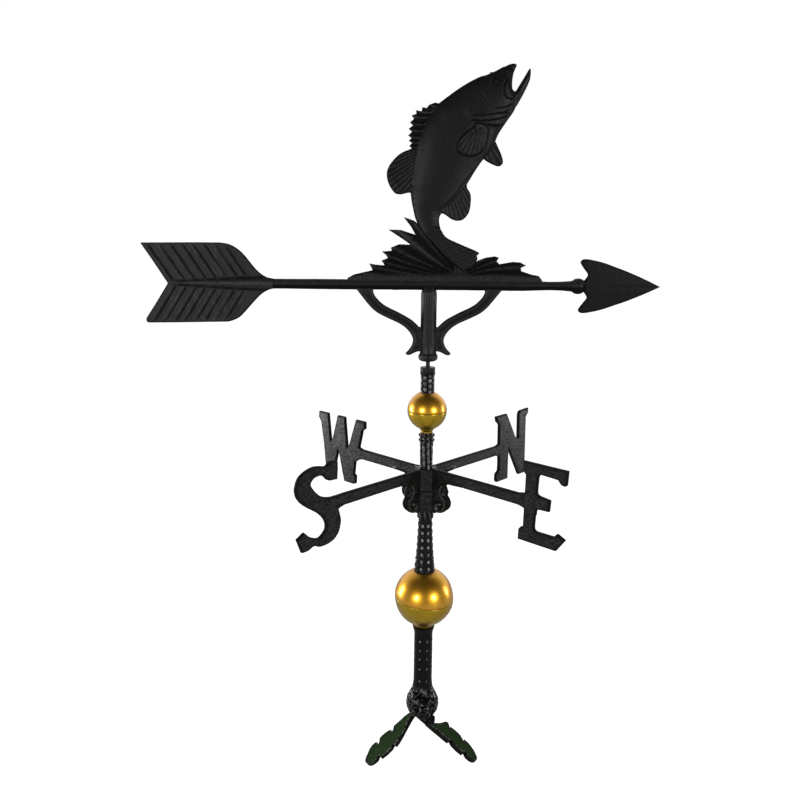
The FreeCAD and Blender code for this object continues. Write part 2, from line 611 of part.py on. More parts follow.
# Shares of a bracket's reach from the axis, and of its drop below the shaft's underside
BRACKET_SHARES = [
    (LINE, [(1.0, .060), (1.0, .0)]),
    (CURVE, [(.900, -.030), (.790, -.165), (.630, -.380), (.400, -.515), (.235, -.670),
             (.197, -.755), (.205, -.840), (.275, -.975)]),
    (LINE, [(.235, -1.0)]),
    (CURVE, [(.170, -.965), (.050, -.920)]),
    (LINE, [(.050, -.580), (.110, -.580)]),
    (CURVE, [(.210, -.460), (.400, -.335), (.570, -.220), (.670, -.090), (.700, .0)]),
    (LINE, [(.700, .060)]),
]
QUILL_START_SHARE = .215
QUILL_END_SHARE = .93
HEAD_RIDGE_SHARE = .9
SHAFT_END_SHARE = .12


def make_arrow():
    z = level("shaft")
    along = Vector(1, 0, 0)
    fletch_front = -size("tail_reach") + size("fletch_length")
    head_back = size("head_reach") - size("head_length")

    def fletch_place(u, v):
        return Vector(-size("tail_reach") + u * size("fletch_length"), 0,
                      z + v * size("fletch_height") / 2)

    def head_place(u, v):
        return Vector(head_back + u * size("head_length"), 0, z + v * size("head_height") / 2)

    solids = [upright_plate(FLETCH_SHARES, fletch_place, size("fletch_thickness")),
              upright_plate(HEAD_SHARES, head_place, size("head_thickness"))]
    quill_start = -size("tail_reach") + QUILL_START_SHARE * size("fletch_length")
    quill_end = -size("tail_reach") + QUILL_END_SHARE * size("fletch_length")
    solids.append(Part.makeCone(size("quill_tip_dia") / 2, size("shaft_dia") / 2,
                                quill_end - quill_start, Vector(quill_start, 0, z), along))
    shaft_end = head_back + SHAFT_END_SHARE * size("head_length")
    solids.append(Part.makeCylinder(size("shaft_dia") / 2, shaft_end - quill_end,
                                    Vector(quill_end, 0, z), along))
    swell = head_back - size("shaft_swell_length")
    solids.append(Part.makeCone(size("shaft_dia") / 2, size("shaft_swell_dia") / 2,
                                size("shaft_swell_length"), Vector(swell, 0, z), along))
    bulge = size("ferrule_length") / 2
    for start, low, high in ((head_back - bulge, size("shaft_swell_dia"), size("ferrule_dia")),
                             (head_back, size("ferrule_dia"), size("shaft_swell_dia"))):
        solids.append(Part.makeCone(low / 2, high / 2, bulge, Vector(start, 0, z), along))
    ridge = HEAD_RIDGE_SHARE * size("head_length")
    solids.append(Part.makeCone(size("shaft_swell_dia") / 2, size("head_ridge_tip_dia") / 2,
                                ridge, Vector(head_back, 0, z), along))

    underside = z - size("shaft_dia") / 2
    for side in (1, -1):
        def bracket_place(u, v):
            return Vector(side * u * size("bracket_reach"), 0,
                          underside + v * size("bracket_drop"))
        solids.append(upright_plate(BRACKET_SHARES, bracket_place, size("bracket_thickness")))

    mouth = level("bell_mouth")
    widest = mouth + size("bell_mouth_height")
    shoulder = widest + size("bell_shoulder_height")
    solids.append(Part.makeCone(size("bell_mouth_dia") / 2, size("bell_dia") / 2,
                                size("bell_mouth_height"), Vector(0, 0, mouth)))
    solids.append(Part.makeCone(size("bell_dia") / 2, size("socket_dia") / 2,
                                size("bell_shoulder_height"), Vector(0, 0, widest)))
    solids.append(Part.makeCylinder(size("socket_dia") / 2, z - shoulder,
                                    Vector(0, 0, shoulder)))
    shape = solids[0].multiFuse(solids[1:])

    over = size("cut_overrun")
    bore = Part.makeCylinder(size("socket_bore_dia") / 2, level("bore_roof") - mouth + over,
                             Vector(0, 0, mouth - over))
    half = size("shaft_dia") / 2
    flat = solid_box(Vector(ORNAMENT_BACK_SHARE * size("ornament_length") - over, -half,
                            level("ornament")),
                     Vector(ORNAMENT_FRONT_SHARE * size("ornament_length") + over, half,
                            z + half + over))
    shape = shape.cut([bore, flat] + screw_bodies(size("seat_clearance"), over))
    keep_shape("arrow_casting", shape.removeSplitter())


def screw_bodies(extra, over=0):
    bodies = []
    foot = level("shaft") - size("shaft_dia") / 2
    for reach in (-size("rear_screw_reach"), size("front_screw_reach")):
        top = level("ornament") + size("ornament_screw_bite") + extra
        shank = Part.makeCylinder(size("ornament_screw_dia") / 2 + extra, top - foot,
                                  Vector(reach, 0, foot))
        head = Part.makeCone(size("screw_head_dia") / 2 + extra,
                             size("ornament_screw_dia") / 2 + extra,
                             size("screw_head_height"), Vector(reach, 0, foot))
        body = shank.fuse(head)
        if over:
            body = body.fuse(Part.makeCylinder(size("screw_head_dia") / 2 + extra, over,
                                               Vector(reach, 0, foot - over)))
        bodies.append(body)
    return bodies


def make_ornament_screws():
    screws = []
    foot = level("shaft") - size("shaft_dia") / 2
    half = size("slot_width") / 2
    for body, reach in zip(screw_bodies(0), (-size("rear_screw_reach"),
                                             size("front_screw_reach"))):
        slot = solid_box(Vector(reach - size("screw_head_dia"), -half, foot),
                         Vector(reach + size("screw_head_dia"), half,
                                foot + size("slot_depth")))
        screws.append(body.cut(slot))
    keep_shape("ornament_screws", Part.makeCompound(screws))


# Ornament: shares of its length, from the spindle's axis, and of its height over the shaft
ORNAMENT_BACK_SHARE = -.420
ORNAMENT_FRONT_SHARE = .580
# Each row: the back's point, the belly's point and the thickness there, a share of the body's
BODY_SHARES = [
    ((.355, .990), (.397, .945), .40),
    ((.291, .965), (.402, .880), .72),
    ((.218, .930), (.417, .814), .92),
    ((.146, .898), (.379, .744), 1.0),
    ((.067, .851), (.340, .684), 1.0),
    ((.007, .809), (.306, .619), 1.0),
    ((-.039, .730), (.252, .563), .98),
    ((-.068, .651), (.218, .512), .92),
    ((-.087, .567), (.189, .460), .85),
    ((-.100, .488), (.150, .419), .76),
    ((-.102, .409), (.097, .358), .64),
    ((-.090, .344), (.058, .307), .53),
    ((-.073, .284), (.049, .270), .46),
    ((-.039, .219), (.066, .228), .36),
    ((.010, .167), (.097, .195), .30),
]
MOUTH_SHARES = [
    (LINE, [(.375, 1.0), (.407, 1.0), (.399, .955), (.392, .905), (.408, .880), (.422, .895),
            (.475, .985), (.482, .945), (.465, .900), (.425, .830), (.385, .760), (.330, .790),
            (.290, .890), (.335, .950)]),
]
SOFT_DORSAL_SHARES = [
    (LINE, [(-.040, .640), (-.112, .620)]),
    (CURVE, [(-.157, .592), (-.200, .555), (-.222, .505), (-.220, .480), (-.205, .448),
             (-.180, .415)]),
    (LINE, [(-.148, .405), (-.113, .412), (-.050, .430)]),
]
PELVIC_SHARES = [
    (LINE, [(.290, .650), (.348, .608), (.361, .555), (.344, .540), (.313, .547), (.274, .565),
            (.215, .585), (.225, .630)]),
]
ANAL_SHARES = [
    (LINE, [(.150, .480), (.205, .402)]),
    (CURVE, [(.203, .360), (.195, .320), (.170, .288), (.138, .280), (.096, .284), (.066, .290)]),
    (LINE, [(.010, .300), (.030, .400)]),
]
TAIL_FIN_SHARES = [
    (LINE, [(.025, .255), (.090, .204), (.169, .166), (.249, .131), (.243, .092), (.220, .056),
            (.177, .034), (.156, .040), (.100, .084), (.032, .150), (-.005, .225)]),
]
SPLASH_SHARES = [
    (LINE, [(ORNAMENT_BACK_SHARE, .0), (-.392, .024), (-.297, .045), (-.314, .074),
            (-.224, .066), (-.246, .089), (-.217, .099), (-.246, .133), (-.192, .134),
            (-.199, .154), (-.152, .168), (-.098, .166), (-.214, .238), (-.150, .235),
            (-.077, .213), (-.136, .300), (-.105, .292), (-.050, .200), (.050, .120),
            (.150, .060), (.235, .045), (.265, .100), (.327, .114), (.357, .104), (.350, .087),
            (.372, .080), (.452, .088), (.500, .071), (.475, .064), (.476, .047), (.564, .027),
            (ORNAMENT_FRONT_SHARE, .0)]),
]
# Spiny dorsal fin: its root along the back, and how far each spine stands out
SPINE_ROOT_SHARES = [(.040, .800), (-.005, .740), (-.025, .690), (-.045, .625)]
SPINE_TIP_SHARES = [(-.015, .822), (-.050, .805), (-.078, .793), (-.100, .765), (-.108, .735),
                    (-.116, .705), (-.115, .675), (-.112, .648), (-.112, .615)]
SPINE_VALLEY_SHARE = .3
BODY_SIDES = 16


def ornament_place(u, v):
    return Vector(u * size("ornament_length"), 0, level("ornament") + v * size("ornament_height"))


def spiny_fin():
    tips = [ornament_place(u, v) for u, v in SPINE_TIP_SHARES]
    roots = [ornament_place(u, v) for u, v in SPINE_ROOT_SHARES]
    heart = roots[1]
    edge = []
    for one, two in zip(tips, tips[1:]):
        middle = (one + two) / 2
        edge += [one, middle + (heart - middle) * SPINE_VALLEY_SHARE]
    edge.append(tips[-1])
    half = size("fin_thickness") / 2
    face = Part.Face(Part.makePolygon(edge + roots[::-1] + [edge[0]]))
    face.translate(Vector(0, -half, 0))
    return face.extrude(Vector(0, 2 * half, 0))


def bass_body():
    rings = []
    for back, belly, thickness in BODY_SHARES:
        top = ornament_place(*back)
        low = ornament_place(*belly)
        centre = (top + low) / 2
        across = (top - low) / 2
        side = Vector(0, thickness * size("body_thickness") / 2, 0)
        turns = [2 * math.pi * step / BODY_SIDES for step in range(BODY_SIDES)]
        spots = [centre + across * math.cos(turn) + side * math.sin(turn) for turn in turns]
        rings.append(Part.makePolygon(spots + [spots[0]]))
    return Part.makeLoft(rings, True, False)


def make_ornament():
    fin = size("fin_thickness")
    solids = [bass_body(), spiny_fin()]
    for runs, thickness in ((MOUTH_SHARES, size("jaw_thickness")), (SOFT_DORSAL_SHARES, fin),
                            (PELVIC_SHARES, fin), (ANAL_SHARES, fin), (TAIL_FIN_SHARES, fin),
                            (SPLASH_SHARES, size("splash_thickness"))):
        solids.append(upright_plate(runs, ornament_place, thickness))
    shape = solids[0].multiFuse(solids[1:])
    shape = shape.cut(screw_bodies(size("seat_clearance"), size("cut_overrun")))
    keep_shape("bass_ornament", shape.removeSplitter())


# Leaf: shares of its length from the root, and of its half width from its middle line, away from
# the cheek
LEAF_SHARES = [
    (-.074, -.785), (.0, -.727), (.074, -.477), (.135, -.157), (.197, .163), (.258, .512),
    (.319, .791), (.381, .971), (.40, .773), (.428, .68), (.459, .901), (.565, 1.0), (.67, .971),
    (.695, .738), (.725, .57), (.762, .866), (.835, .855), (.897, .75), (.952, .506),
    (.988, .192), (1.0, .0), (.99, -.244), (.958, -.517), (.897, -.762), (.835, -.866),
    (.762, -.866), (.725, -.576), (.695, -.738), (.67, -.971), (.565, -1.0), (.459, -.901),
    (.428, -.68), (.40, -.773), (.376, -.983), (.295, -1.0), (.184, -1.017), (.086, -1.04),
    (-.074, -1.04),
]


# A leg lies along +X with the pivot at the origin and its cheek on the front side
def leg_shape(side):
    low = -size("foot_drop")
    root = size("leg_root")
    run = size("leg_length") - root
    half = size("leg_width") / 2
    edge = [Vector(root + u * run, -size("leaf_offset") - v * half, low) for u, v in LEAF_SHARES]
    blade = Part.Face(Part.makePolygon(edge + [edge[0]]))
    blade = blade.extrude(Vector(0, 0, size("leg_thickness")))

    # Ball cheek: the outer slice of the knuckle, which sits over the pivot at rest
    inner = size("knuckle_web") / 2 + size("cheek_gap")
    radius = size("knuckle_dia") / 2
    rise = Rotation(Vector(0, 1, 0), -size("roof_pitch")).multVec(
        Vector(0, 0, size("knuckle_rise")))
    sphere = Part.makeSphere(radius, rise)
    far_side = solid_box(Vector(-2 * radius, inner, low), Vector(2 * radius, 2 * radius,
                                                                2 * radius))
    rim = (radius ** 2 - inner ** 2) ** .5 - size("cheek_trim")
    disc = Part.makeCylinder(rim, radius, Vector(rise.x, inner, rise.z), Vector(0, 1, 0))
    cheek = sphere.common([far_side]).common(disc)

    # Apron: the web that carries the cheek down onto the leaf
    width = size("cheek_width")
    apron = Part.makePolygon([Vector(-rim / 2, inner, low), Vector(root + width, inner, low),
                              Vector(size("apron_width") + width, inner,
                                     low + size("leg_thickness")),
                              Vector(rim, inner, -low / 2), Vector(0, inner, -low / 2),
                              Vector(-rim / 2, inner, low)])
    apron = Part.Face(apron).extrude(Vector(0, size("apron_thickness"), 0))
    shape = blade.multiFuse([cheek, apron])

    over = size("cut_overrun")
    cuts = [Part.makeCylinder(size("pivot_bolt_dia") / 2 + size("pivot_clearance"), 2 * radius,
                              Vector(0, 0, 0), Vector(0, 1, 0)),
            Part.makeCylinder(size("spotface_dia") / 2, 2 * radius, Vector(0, inner + width, 0),
                              Vector(0, 1, 0))]
    for reach in (size("foot_screw_near"), size("foot_screw_near") + size("foot_screw_pitch")):
        cuts.append(Part.makeCylinder(size("foot_screw_dia") / 2, size("leg_thickness") + 2 * over,
                                      Vector(reach, 0, low - over)))
        sink = (size("foot_screw_head_dia") - size("foot_screw_dia")) / 2
        cuts.append(Part.makeCone(size("foot_screw_dia") / 2, size("foot_screw_head_dia") / 2,
                                  sink, Vector(reach, 0, low + size("leg_thickness") - sink)))
    shape = shape.cut(cuts).removeSplitter()
    if side > 0:
        shape = shape.mirror(Vector(0, 0, 0), Vector(0, 1, 0))
    else:
        shape = shape.mirror(Vector(0, 0, 0), Vector(1, 0, 0))
    return shape


def make_legs():
    for label, side in (("leg_right", 1), ("leg_left", -1)):
        turn = Rotation(Vector(0, 1, 0), side * size("roof_pitch"))
        place = Placement(Vector(0, 0, level("pivot")), turn)
        keep_shape(label, leg_shape(side), place)


make_spindle()
make_columns()
make_base_column()
make_globes()
make_pivot_fasteners()
make_directionals()
make_arrow()
make_ornament_screws()
make_ornament()
make_legs()
doc.recompute()

# Checks, then one file for each piece
for obj in doc.Objects:
    if "Invalid" in obj.State or "Error" in obj.State:
        raise RuntimeError("%s failed: %s" % (obj.Name, obj.State))
for obj in parts:
    if obj.Shape.isNull() or not obj.Shape.isValid() or not obj.Shape.Solids:
        raise RuntimeError("%s has no valid solid" % obj.Label)

os.makedirs("parts", exist_ok=True)
for obj in parts:
    obj.Shape.exportStep("parts/%s.step" % obj.Label)
    low = obj.Shape.BoundBox
    print("%-24s solids %d volume %9.1f x %7.1f %7.1f y %6.1f %6.1f z %6.1f %6.1f" % (
        obj.Label, len(obj.Shape.Solids), obj.Shape.Volume, low.XMin, low.XMax, low.YMin,
        low.YMax, low.ZMin, low.ZMax))
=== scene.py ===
"""Looks for a roof-ridge weathervane: black cast arrow, leaping bass and columns, gold globes."""

import logging
import math
from dataclasses import dataclass, field
from enum import Enum
from functools import cache
from typing import Callable, Iterable, Optional, Sequence

import bmesh
import bpy
import numpy as np
from mathutils import Euler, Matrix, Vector
from mathutils.geometry import delaunay_2d_cdt


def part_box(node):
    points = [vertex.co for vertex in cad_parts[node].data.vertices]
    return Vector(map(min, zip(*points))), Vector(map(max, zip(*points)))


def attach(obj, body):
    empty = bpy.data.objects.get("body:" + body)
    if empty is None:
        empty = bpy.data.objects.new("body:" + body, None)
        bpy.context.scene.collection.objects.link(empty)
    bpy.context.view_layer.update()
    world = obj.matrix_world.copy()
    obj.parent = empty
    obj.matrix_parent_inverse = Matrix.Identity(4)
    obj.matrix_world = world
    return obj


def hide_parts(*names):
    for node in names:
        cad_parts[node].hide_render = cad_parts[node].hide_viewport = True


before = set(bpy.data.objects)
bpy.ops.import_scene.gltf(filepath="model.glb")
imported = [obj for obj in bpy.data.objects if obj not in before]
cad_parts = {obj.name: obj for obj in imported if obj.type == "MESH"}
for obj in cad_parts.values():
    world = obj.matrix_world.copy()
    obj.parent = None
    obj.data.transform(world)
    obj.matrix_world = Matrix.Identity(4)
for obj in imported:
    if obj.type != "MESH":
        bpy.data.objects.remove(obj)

LOG = logging.getLogger("weathervane")
MM = 0.001
Points = np.ndarray
Spot = tuple[float, float]
Line = Sequence[Spot]
Color = tuple[float, float, float]
Surface = tuple[Points, Points, Points]  # height, rubbing and painted highlight, and painted shade of each point
Shaping = Callable[[Points, Points], Surface]  # of points and how far in they lie
Skin = Callable[[Points, Points, Points], Surface]  # of angles, heights and radii
Socket = bpy.types.NodeSocket
Sockets = bpy.types.bpy_prop_collection
BLOCK = 1500  # points that are measured at a time
FINE_RIM = (0.35, 0.9, 1.7)  # how far inside an outline its rows of points run
FOOT_RISE = 1.6  # from the foot of the bass's solid up to the zero of its outlines
AXIS_DROP = 4.8  # from the foot of the bass's solid down to the shaft's axis


# Surface noise, worked out on points in millimetres


def value_noise(points: Points, cell: float, seed: int = 0) -> Points:
    """Smooth noise from -1 to 1.

    Args:
        points: rows of x, y, z in millimetres.
        cell: size of one lump.
        seed: which noise to give.

    Returns:
        One value for each row.
    """
    scaled = np.asarray(points, float) / cell
    base = np.floor(scaled).astype(np.int64)
    part = scaled - base
    part = part * part * (3 - 2 * part)
    total = np.zeros(len(scaled))
    for corner in range(8):
        step = np.array([(corner >> axis) & 1 for axis in range(3)])
        spot = base + step
        mixed = (spot[:, 0] * 73856093) ^ (spot[:, 1] * 19349663) ^ (spot[:, 2] * 83492791)
        mixed = (mixed ^ (seed * 9781 + 4447)) & 0xFFFFFF
        mixed = (mixed * 1103515245 + 12345) & 0x7FFFFFFF
        mixed = ((mixed >> 7) * 69069 + 1) & 0x7FFFFFFF
        weight = np.prod(np.where(step == 1, part, 1 - part), axis=1)
        total += weight * (mixed / 0x3FFFFFFF - 1)
    return total


def flat_noise(points: Points, cell: float, seed: int = 0) -> Points:
    """Noise on rows of two values."""
    padded = np.column_stack([points, np.full(len(points), 3.7)])
    return value_noise(padded, cell, seed)


def ease(value: Points, low: float, high: float) -> Points:
    """Eases from 0 at low to 1 at high."""
    part = np.clip((value - low) / (high - low), 0, 1)
    return part * part * (3 - 2 * part)


def bell(gap: Points, width: float) -> Points:
    """Falls from 1 where there is no gap to a third of that at the width."""
    return np.exp(-(gap / width) ** 2)


def around(turn: Points, height: Points, radius: Points) -> Points:
    """Rows of x, y, z for points round an upright axis."""
    return np.column_stack([radius * np.cos(turn), radius * np.sin(turn), height])


def left_of(along: Points) -> Points:
    """Unit directions square to others, to their left."""
    length = np.maximum(np.linalg.norm(along, axis=1), 1e-9)[:, None]
    return np.column_stack([-along[:, 1], along[:, 0]]) / length


# Outlines


def curve(points: Line, steps: int = 6, closed: bool = False) -> list[Spot]:
    """Runs a smooth curve through points.

    Args:
        points: the points that it passes; one given twice is a corner.
        steps: how many pieces each stretch has.
        closed: whether the last point joins the first.

    Returns:
        The curve's points.
    """
    spots = np.array(points, float)
    count = len(spots)
    result: list[Spot] = []
    for index in range(count if closed else count - 1):
        if closed:
            picks = [(index - 1) % count, index, (index + 1) % count, (index + 2) % count]
        else:
            picks = [max(index - 1, 0), index, index + 1, min(index + 2, count - 1)]
        before, start, end, after = (spots[pick] for pick in picks)
        if np.allclose(start, end):
            continue
        for step in range(steps):
            t = step / steps
            bend = (2 * start + (end - before) * t
                    + (2 * before - 5 * start + 4 * end - after) * t * t
                    + (3 * start - before - 3 * end + after) * t ** 3) / 2
            result.append((float(bend[0]), float(bend[1])))
    if not closed:
        result.append((float(spots[-1][0]), float(spots[-1][1])))
    return result


def divided(points: Line, step: float, closed: bool = True) -> Points:
    """Splits a line's long stretches so that none is longer than step.

    Args:
        points: the line's corners.
        step: the longest stretch.
        closed: whether the last corner joins the first.

    Returns:
        The line's points.
    """
    spots = [np.array(spot, float) for spot in points]
    ends = spots[1:] + ([spots[0]] if closed else [])
    result: list[Points] = []
    for start, end in zip(spots, ends):
        pieces = max(1, int(math.ceil(np.linalg.norm(end - start) / step)))
        result += [start + (end - start) * index / pieces for index in range(pieces)]
    if not closed:
        result.append(spots[-1])
    return np.array(result)


def mirrored(points: Iterable[Spot]) -> list[Spot]:
    """The same outline on the other side of the axis."""
    return [(-u, v) for u, v in points]


def distance_to(points: Points, starts: Points, ends: Points) -> tuple[Points, Points]:
    """Measures how far points are from a set of straight stretches.

    Args:
        points: rows of two values.
        starts: where the stretches start.
        ends: where they end.

    Returns:
        The distances, and the share along all stretches where each is met.
    """
    along = ends - starts
    squared = np.maximum((along ** 2).sum(1), 1e-12)
    best = np.empty(len(points))
    place = np.empty(len(points))
    for first in range(0, len(points), BLOCK):
        here = slice(first, first + BLOCK)
        offset = points[here, None, :] - starts[None]
        share = np.clip((offset * along[None]).sum(2) / squared[None], 0, 1)
        squares = ((offset - share[..., None] * along[None]) ** 2).sum(2)
        nearest = squares.argmin(1)
        rows = np.arange(len(nearest))
        best[here] = np.sqrt(squares[rows, nearest])
        place[here] = (nearest + share[rows, nearest]) / len(starts)
    return best, place


def line_distance(points: Points, line: Line) -> tuple[Points, Points]:
    """Distance to an open line, and the share along it."""
    spots = np.array(line, float)
    return distance_to(points, spots[:-1], spots[1:])


def is_inside(points: Points, starts: Points, ends: Points) -> Points:
    """Whether each point lies within closed outlines given as stretches.

    Args:
        points: rows of two values.
        starts: where the stretches start.
        ends: where they end.

    Returns:
        Whether each point lies inside.
    """
    result = np.zeros(len(points), bool)
    height = np.where(ends[:, 1] == starts[:, 1], 1.0, ends[:, 1] - starts[:, 1])
    for first in range(0, len(points), BLOCK):
        here = slice(first, first + BLOCK)
        x = points[here, 0][:, None]
        y = points[here, 1][:, None]
        crosses = (starts[:, 1] > y) != (ends[:, 1] > y)
        meet = starts[:, 0] + (y - starts[:, 1]) * (ends[:, 0] - starts[:, 0]) / height
        result[here] = (crosses & (x < meet)).sum(1) % 2 == 1
    return result


# Mesh building


class MeshPad:
    """Collects points and faces in millimetres, then turns them into one object."""

    def __init__(self) -> None:
        """Starts empty."""
        self.points: list[Points] = []
        self.faces: list[Sequence[int]] = []
        self.wear_and_highlight: list[Points] = []
        self.deep: list[Points] = []
        self.count = 0

    def add(self, points: Points, faces: Iterable[Sequence[int]],
            wear_and_highlight: Optional[Points] = None, deep: Optional[Points] = None) -> None:
        """Adds one closed shape.

        Args:
            points: rows of x, y, z in millimetres.
            faces: each face's point numbers.
            wear_and_highlight: how much rubbing and painted highlight each point takes, from 0 to
                1.
            deep: how much painted shade each point takes, mostly in hollows, from 0 to 1.
        """
        number = len(points)
        self.points.append(np.asarray(points, float))
        self.faces += [[int(spot) + self.count for spot in face] for face in faces]
        self.wear_and_highlight.append(np.zeros(number) if wear_and_highlight is None else wear_and_highlight)
        self.deep.append(np.zeros(number) if deep is None else deep)
        self.count += number

    def piece(self, name: str, finish: "Finish", body: str, slot: str, nodes: Sequence[str],
              sharp: float = 42.0) -> None:
        """Makes the object and gives it to its body.

        Args:
            name: the object's name.
            finish: its material.
            body: the body that it rides on.
            slot: the record's material slot; not used.
            nodes: the CAD nodes that it stands for.
            sharp: the angle from which an edge stays crisp, in degrees.
        """
        mesh = bpy.data.meshes.new(name)
        mesh.from_pydata((np.vstack(self.points) * MM).tolist(), [], self.faces)
        for label, values in (("wear_and_highlight", self.wear_and_highlight), ("deep", self.deep)):
            layer = mesh.attributes.new(label, "FLOAT", "POINT")
            layer.data.foreach_set("value", np.clip(np.concatenate(values), 0, 1))
        build = bmesh.new()
        build.from_mesh(mesh)
        limit = math.radians(sharp)
        for face in build.faces:
            face.smooth = True
        for edge in build.edges:
            if len(edge.link_faces) == 2:
                edge.smooth = edge.calc_face_angle(0.0) < limit
        build.to_mesh(mesh)
        build.free()
        mesh.materials.append(finish.material())
        piece = bpy.data.objects.new(name, mesh)
        bpy.context.scene.collection.objects.link(piece)
        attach(piece, body)
        if nodes:
            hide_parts(*nodes)
        LOG.info("%s: %d points", name, self.count)


@dataclass
class Plane:
    """Where a flat casting lies: its origin, its two directions and the way its front faces."""

    along: tuple[float, float, float] = (1.0, 0.0, 0.0)
    up: tuple[float, float, float] = (0.0, 0.0, 1.0)
    origin: tuple[float, float, float] = (0.0, 0.0, 0.0)

    def place(self, flat: Points, height: Points) -> Points:
        """Sets flat points and their heights over the plane in space.

        Args:
            flat: rows of two values.
            height: how far each lies in front.

        Returns:
            Rows of x, y, z.
        """
        along, up = np.array(self.along), np.array(self.up)
        return (np.array(self.origin) + flat[:, :1] * along + flat[:, 1:2] * up
                + height[:, None] * np.cross(along, up))


@dataclass
class Relief:
    """A flat casting filled inside one or more joined outlines, shaped on both faces."""

    outlines: Sequence[Line]
    step: float = 1.6
    rim: Sequence[float] = (0.3, 0.8)
    lines: Sequence[Line] = ()
    line_width: float = 0.45
    rim_shade_width: float = 1.3
    flat: Points = field(init=False)
    edge: Points = field(init=False)
    triangles: list[tuple[int, int, int]] = field(init=False)
    border: list[tuple[int, int]] = field(init=False)

    def __post_init__(self) -> None:
        """Fills the outlines."""
        starts, ends = self.joined_outline()
        starts, ends = self.cut_up(starts, ends)
        seeds = [starts]
        inward = left_of(ends - starts)
        middles = (starts + ends) / 2
        for offset in self.rim:
            seeds.append(self.kept(middles + inward * offset, starts, ends, offset * 0.9))
        for line in self.lines:
            seeds += [self.kept(spots, starts, ends, 0.3) for spots in self.beside(line)]
        seeds.append(self.kept(self.grid(starts), starts, ends, max(self.rim) + 0.35 * self.step))
        spots = np.vstack(seeds)
        count = len(starts)
        order = {tuple(np.round(spot, 5)): index for index, spot in enumerate(starts)}
        edges = [(index, order[tuple(np.round(ends[index], 5))]) for index in range(count)]
        vectors = [Vector((float(x), float(y))) for x, y in spots]
        found = delaunay_2d_cdt(vectors, edges, [], 0, 1e-5)
        self.flat = np.array([tuple(spot) for spot in found[0]])
        faces = np.array([tuple(face) for face in found[2]])
        centres = self.flat[faces].mean(1)
        faces = faces[is_inside(centres, starts, ends)]
        corners = self.flat[faces]
        first = corners[:, 1] - corners[:, 0]
        second = corners[:, 2] - corners[:, 0]
        turn = first[:, 0] * second[:, 1] - first[:, 1] * second[:, 0]
        faces[turn < 0] = faces[turn < 0][:, ::-1]
        faces = faces[np.abs(turn) > 1e-9]
        self.triangles = [tuple(face) for face in faces.tolist()]
        self.border = self.open_edges(self.triangles)
        self.edge = distance_to(self.flat, starts, ends)[0]

    @staticmethod
    def open_edges(triangles: Sequence[tuple[int, int, int]]) -> list[tuple[int, int]]:
        """The directed edges that only one triangle has.

        Args:
            triangles: each triangle's point numbers.

        Returns:
            Pairs of point numbers.
        """
        seen: dict[tuple[int, int], tuple[int, int]] = {}
        for a, b, c in triangles:
            for one, two in ((a, b), (b, c), (c, a)):
                key = (min(one, two), max(one, two))
                if key in seen:
                    del seen[key]
                else:
                    seen[key] = (one, two)
        return list(seen.values())

    def joined_outline(self) -> tuple[Points, Points]:
        """Joins overlapping outlines into the stretches round them all.

        Returns:
            Where the stretches start and end.
        """
        spots: list[Vector] = []
        edges: list[tuple[int, int]] = []
        for outline in self.outlines:
            base = len(spots)
            number = len(outline)
            spots += [Vector((float(u), float(v))) for u, v in outline]
            edges += [(base + index, base + (index + 1) % number) for index in range(number)]
        found = delaunay_2d_cdt(spots, edges, [], 0, 1e-4)
        flat = np.array([tuple(spot) for spot in found[0]])
        faces = np.array([tuple(face) for face in found[2]])
        centres = flat[faces].mean(1)
        inside = np.zeros(len(faces), bool)
        for outline in self.outlines:
            ring = np.array(outline, float)
            inside |= is_inside(centres, ring, np.roll(ring, -1, axis=0))
        kept = []
        for a, b, c in faces[inside].tolist():
            first = flat[b] - flat[a]
            second = flat[c] - flat[a]
            turned = first[0] * second[1] - first[1] * second[0] < 0
            kept.append((a, c, b) if turned else (a, b, c))
        pairs = np.array(self.open_edges(kept))
        return flat[pairs[:, 0]], flat[pairs[:, 1]]

    def cut_up(self, starts: Points, ends: Points) -> tuple[Points, Points]:
        """Splits the outline's long stretches.

        Args:
            starts: where the stretches start.
            ends: where they end.

        Returns:
            Where the shorter stretches start and end.
        """
        new_starts: list[Points] = []
        new_ends: list[Points] = []
        for start, end in zip(starts, ends):
            pieces = max(1, int(math.ceil(np.linalg.norm(end - start) / self.step)))
            cuts = [start + (end - start) * index / pieces for index in range(pieces + 1)]
            new_starts += cuts[:-1]
            new_ends += cuts[1:]
        return np.round(np.array(new_starts), 6), np.round(np.array(new_ends), 6)

    @staticmethod
    def kept(spots: Points, starts: Points, ends: Points, least: float) -> Points:
        """The points that lie inside, at least so far from the outline.

        Args:
            spots: rows of two values.
            starts: where the stretches start.
            ends: where they end.
            least: the smallest gap to the outline.

        Returns:
            The rows that stay.
        """
        if len(spots) == 0:
            return spots.reshape(-1, 2)
        spots = spots[is_inside(spots, starts, ends)]
        return spots[distance_to(spots, starts, ends)[0] >= least]

    def grid(self, starts: Points) -> Points:
        """A field of points over the outline's box, in staggered rows.

        Args:
            starts: where the stretches start.

        Returns:
            Rows of two values.
        """
        (left, foot), (right, top) = starts.min(0), starts.max(0)
        columns = np.arange(left, right, self.step)
        return np.vstack([np.column_stack([columns + (self.step / 2 if index % 2 else 0),
                                           np.full(len(columns), row)])
                          for index, row in enumerate(np.arange(foot, top, self.step * 0.866))])

    def beside(self, line: Line) -> list[Points]:
        """Points on a line and on both sides of it, so that its relief is crisp.

        Args:
            line: the line's points.

        Returns:
            Three rows of points.
        """
        spots = divided(line, self.step * 0.8, closed=False)
        across = left_of(np.gradient(spots, axis=0)) * self.line_width
        return [spots, spots + across, spots - across]

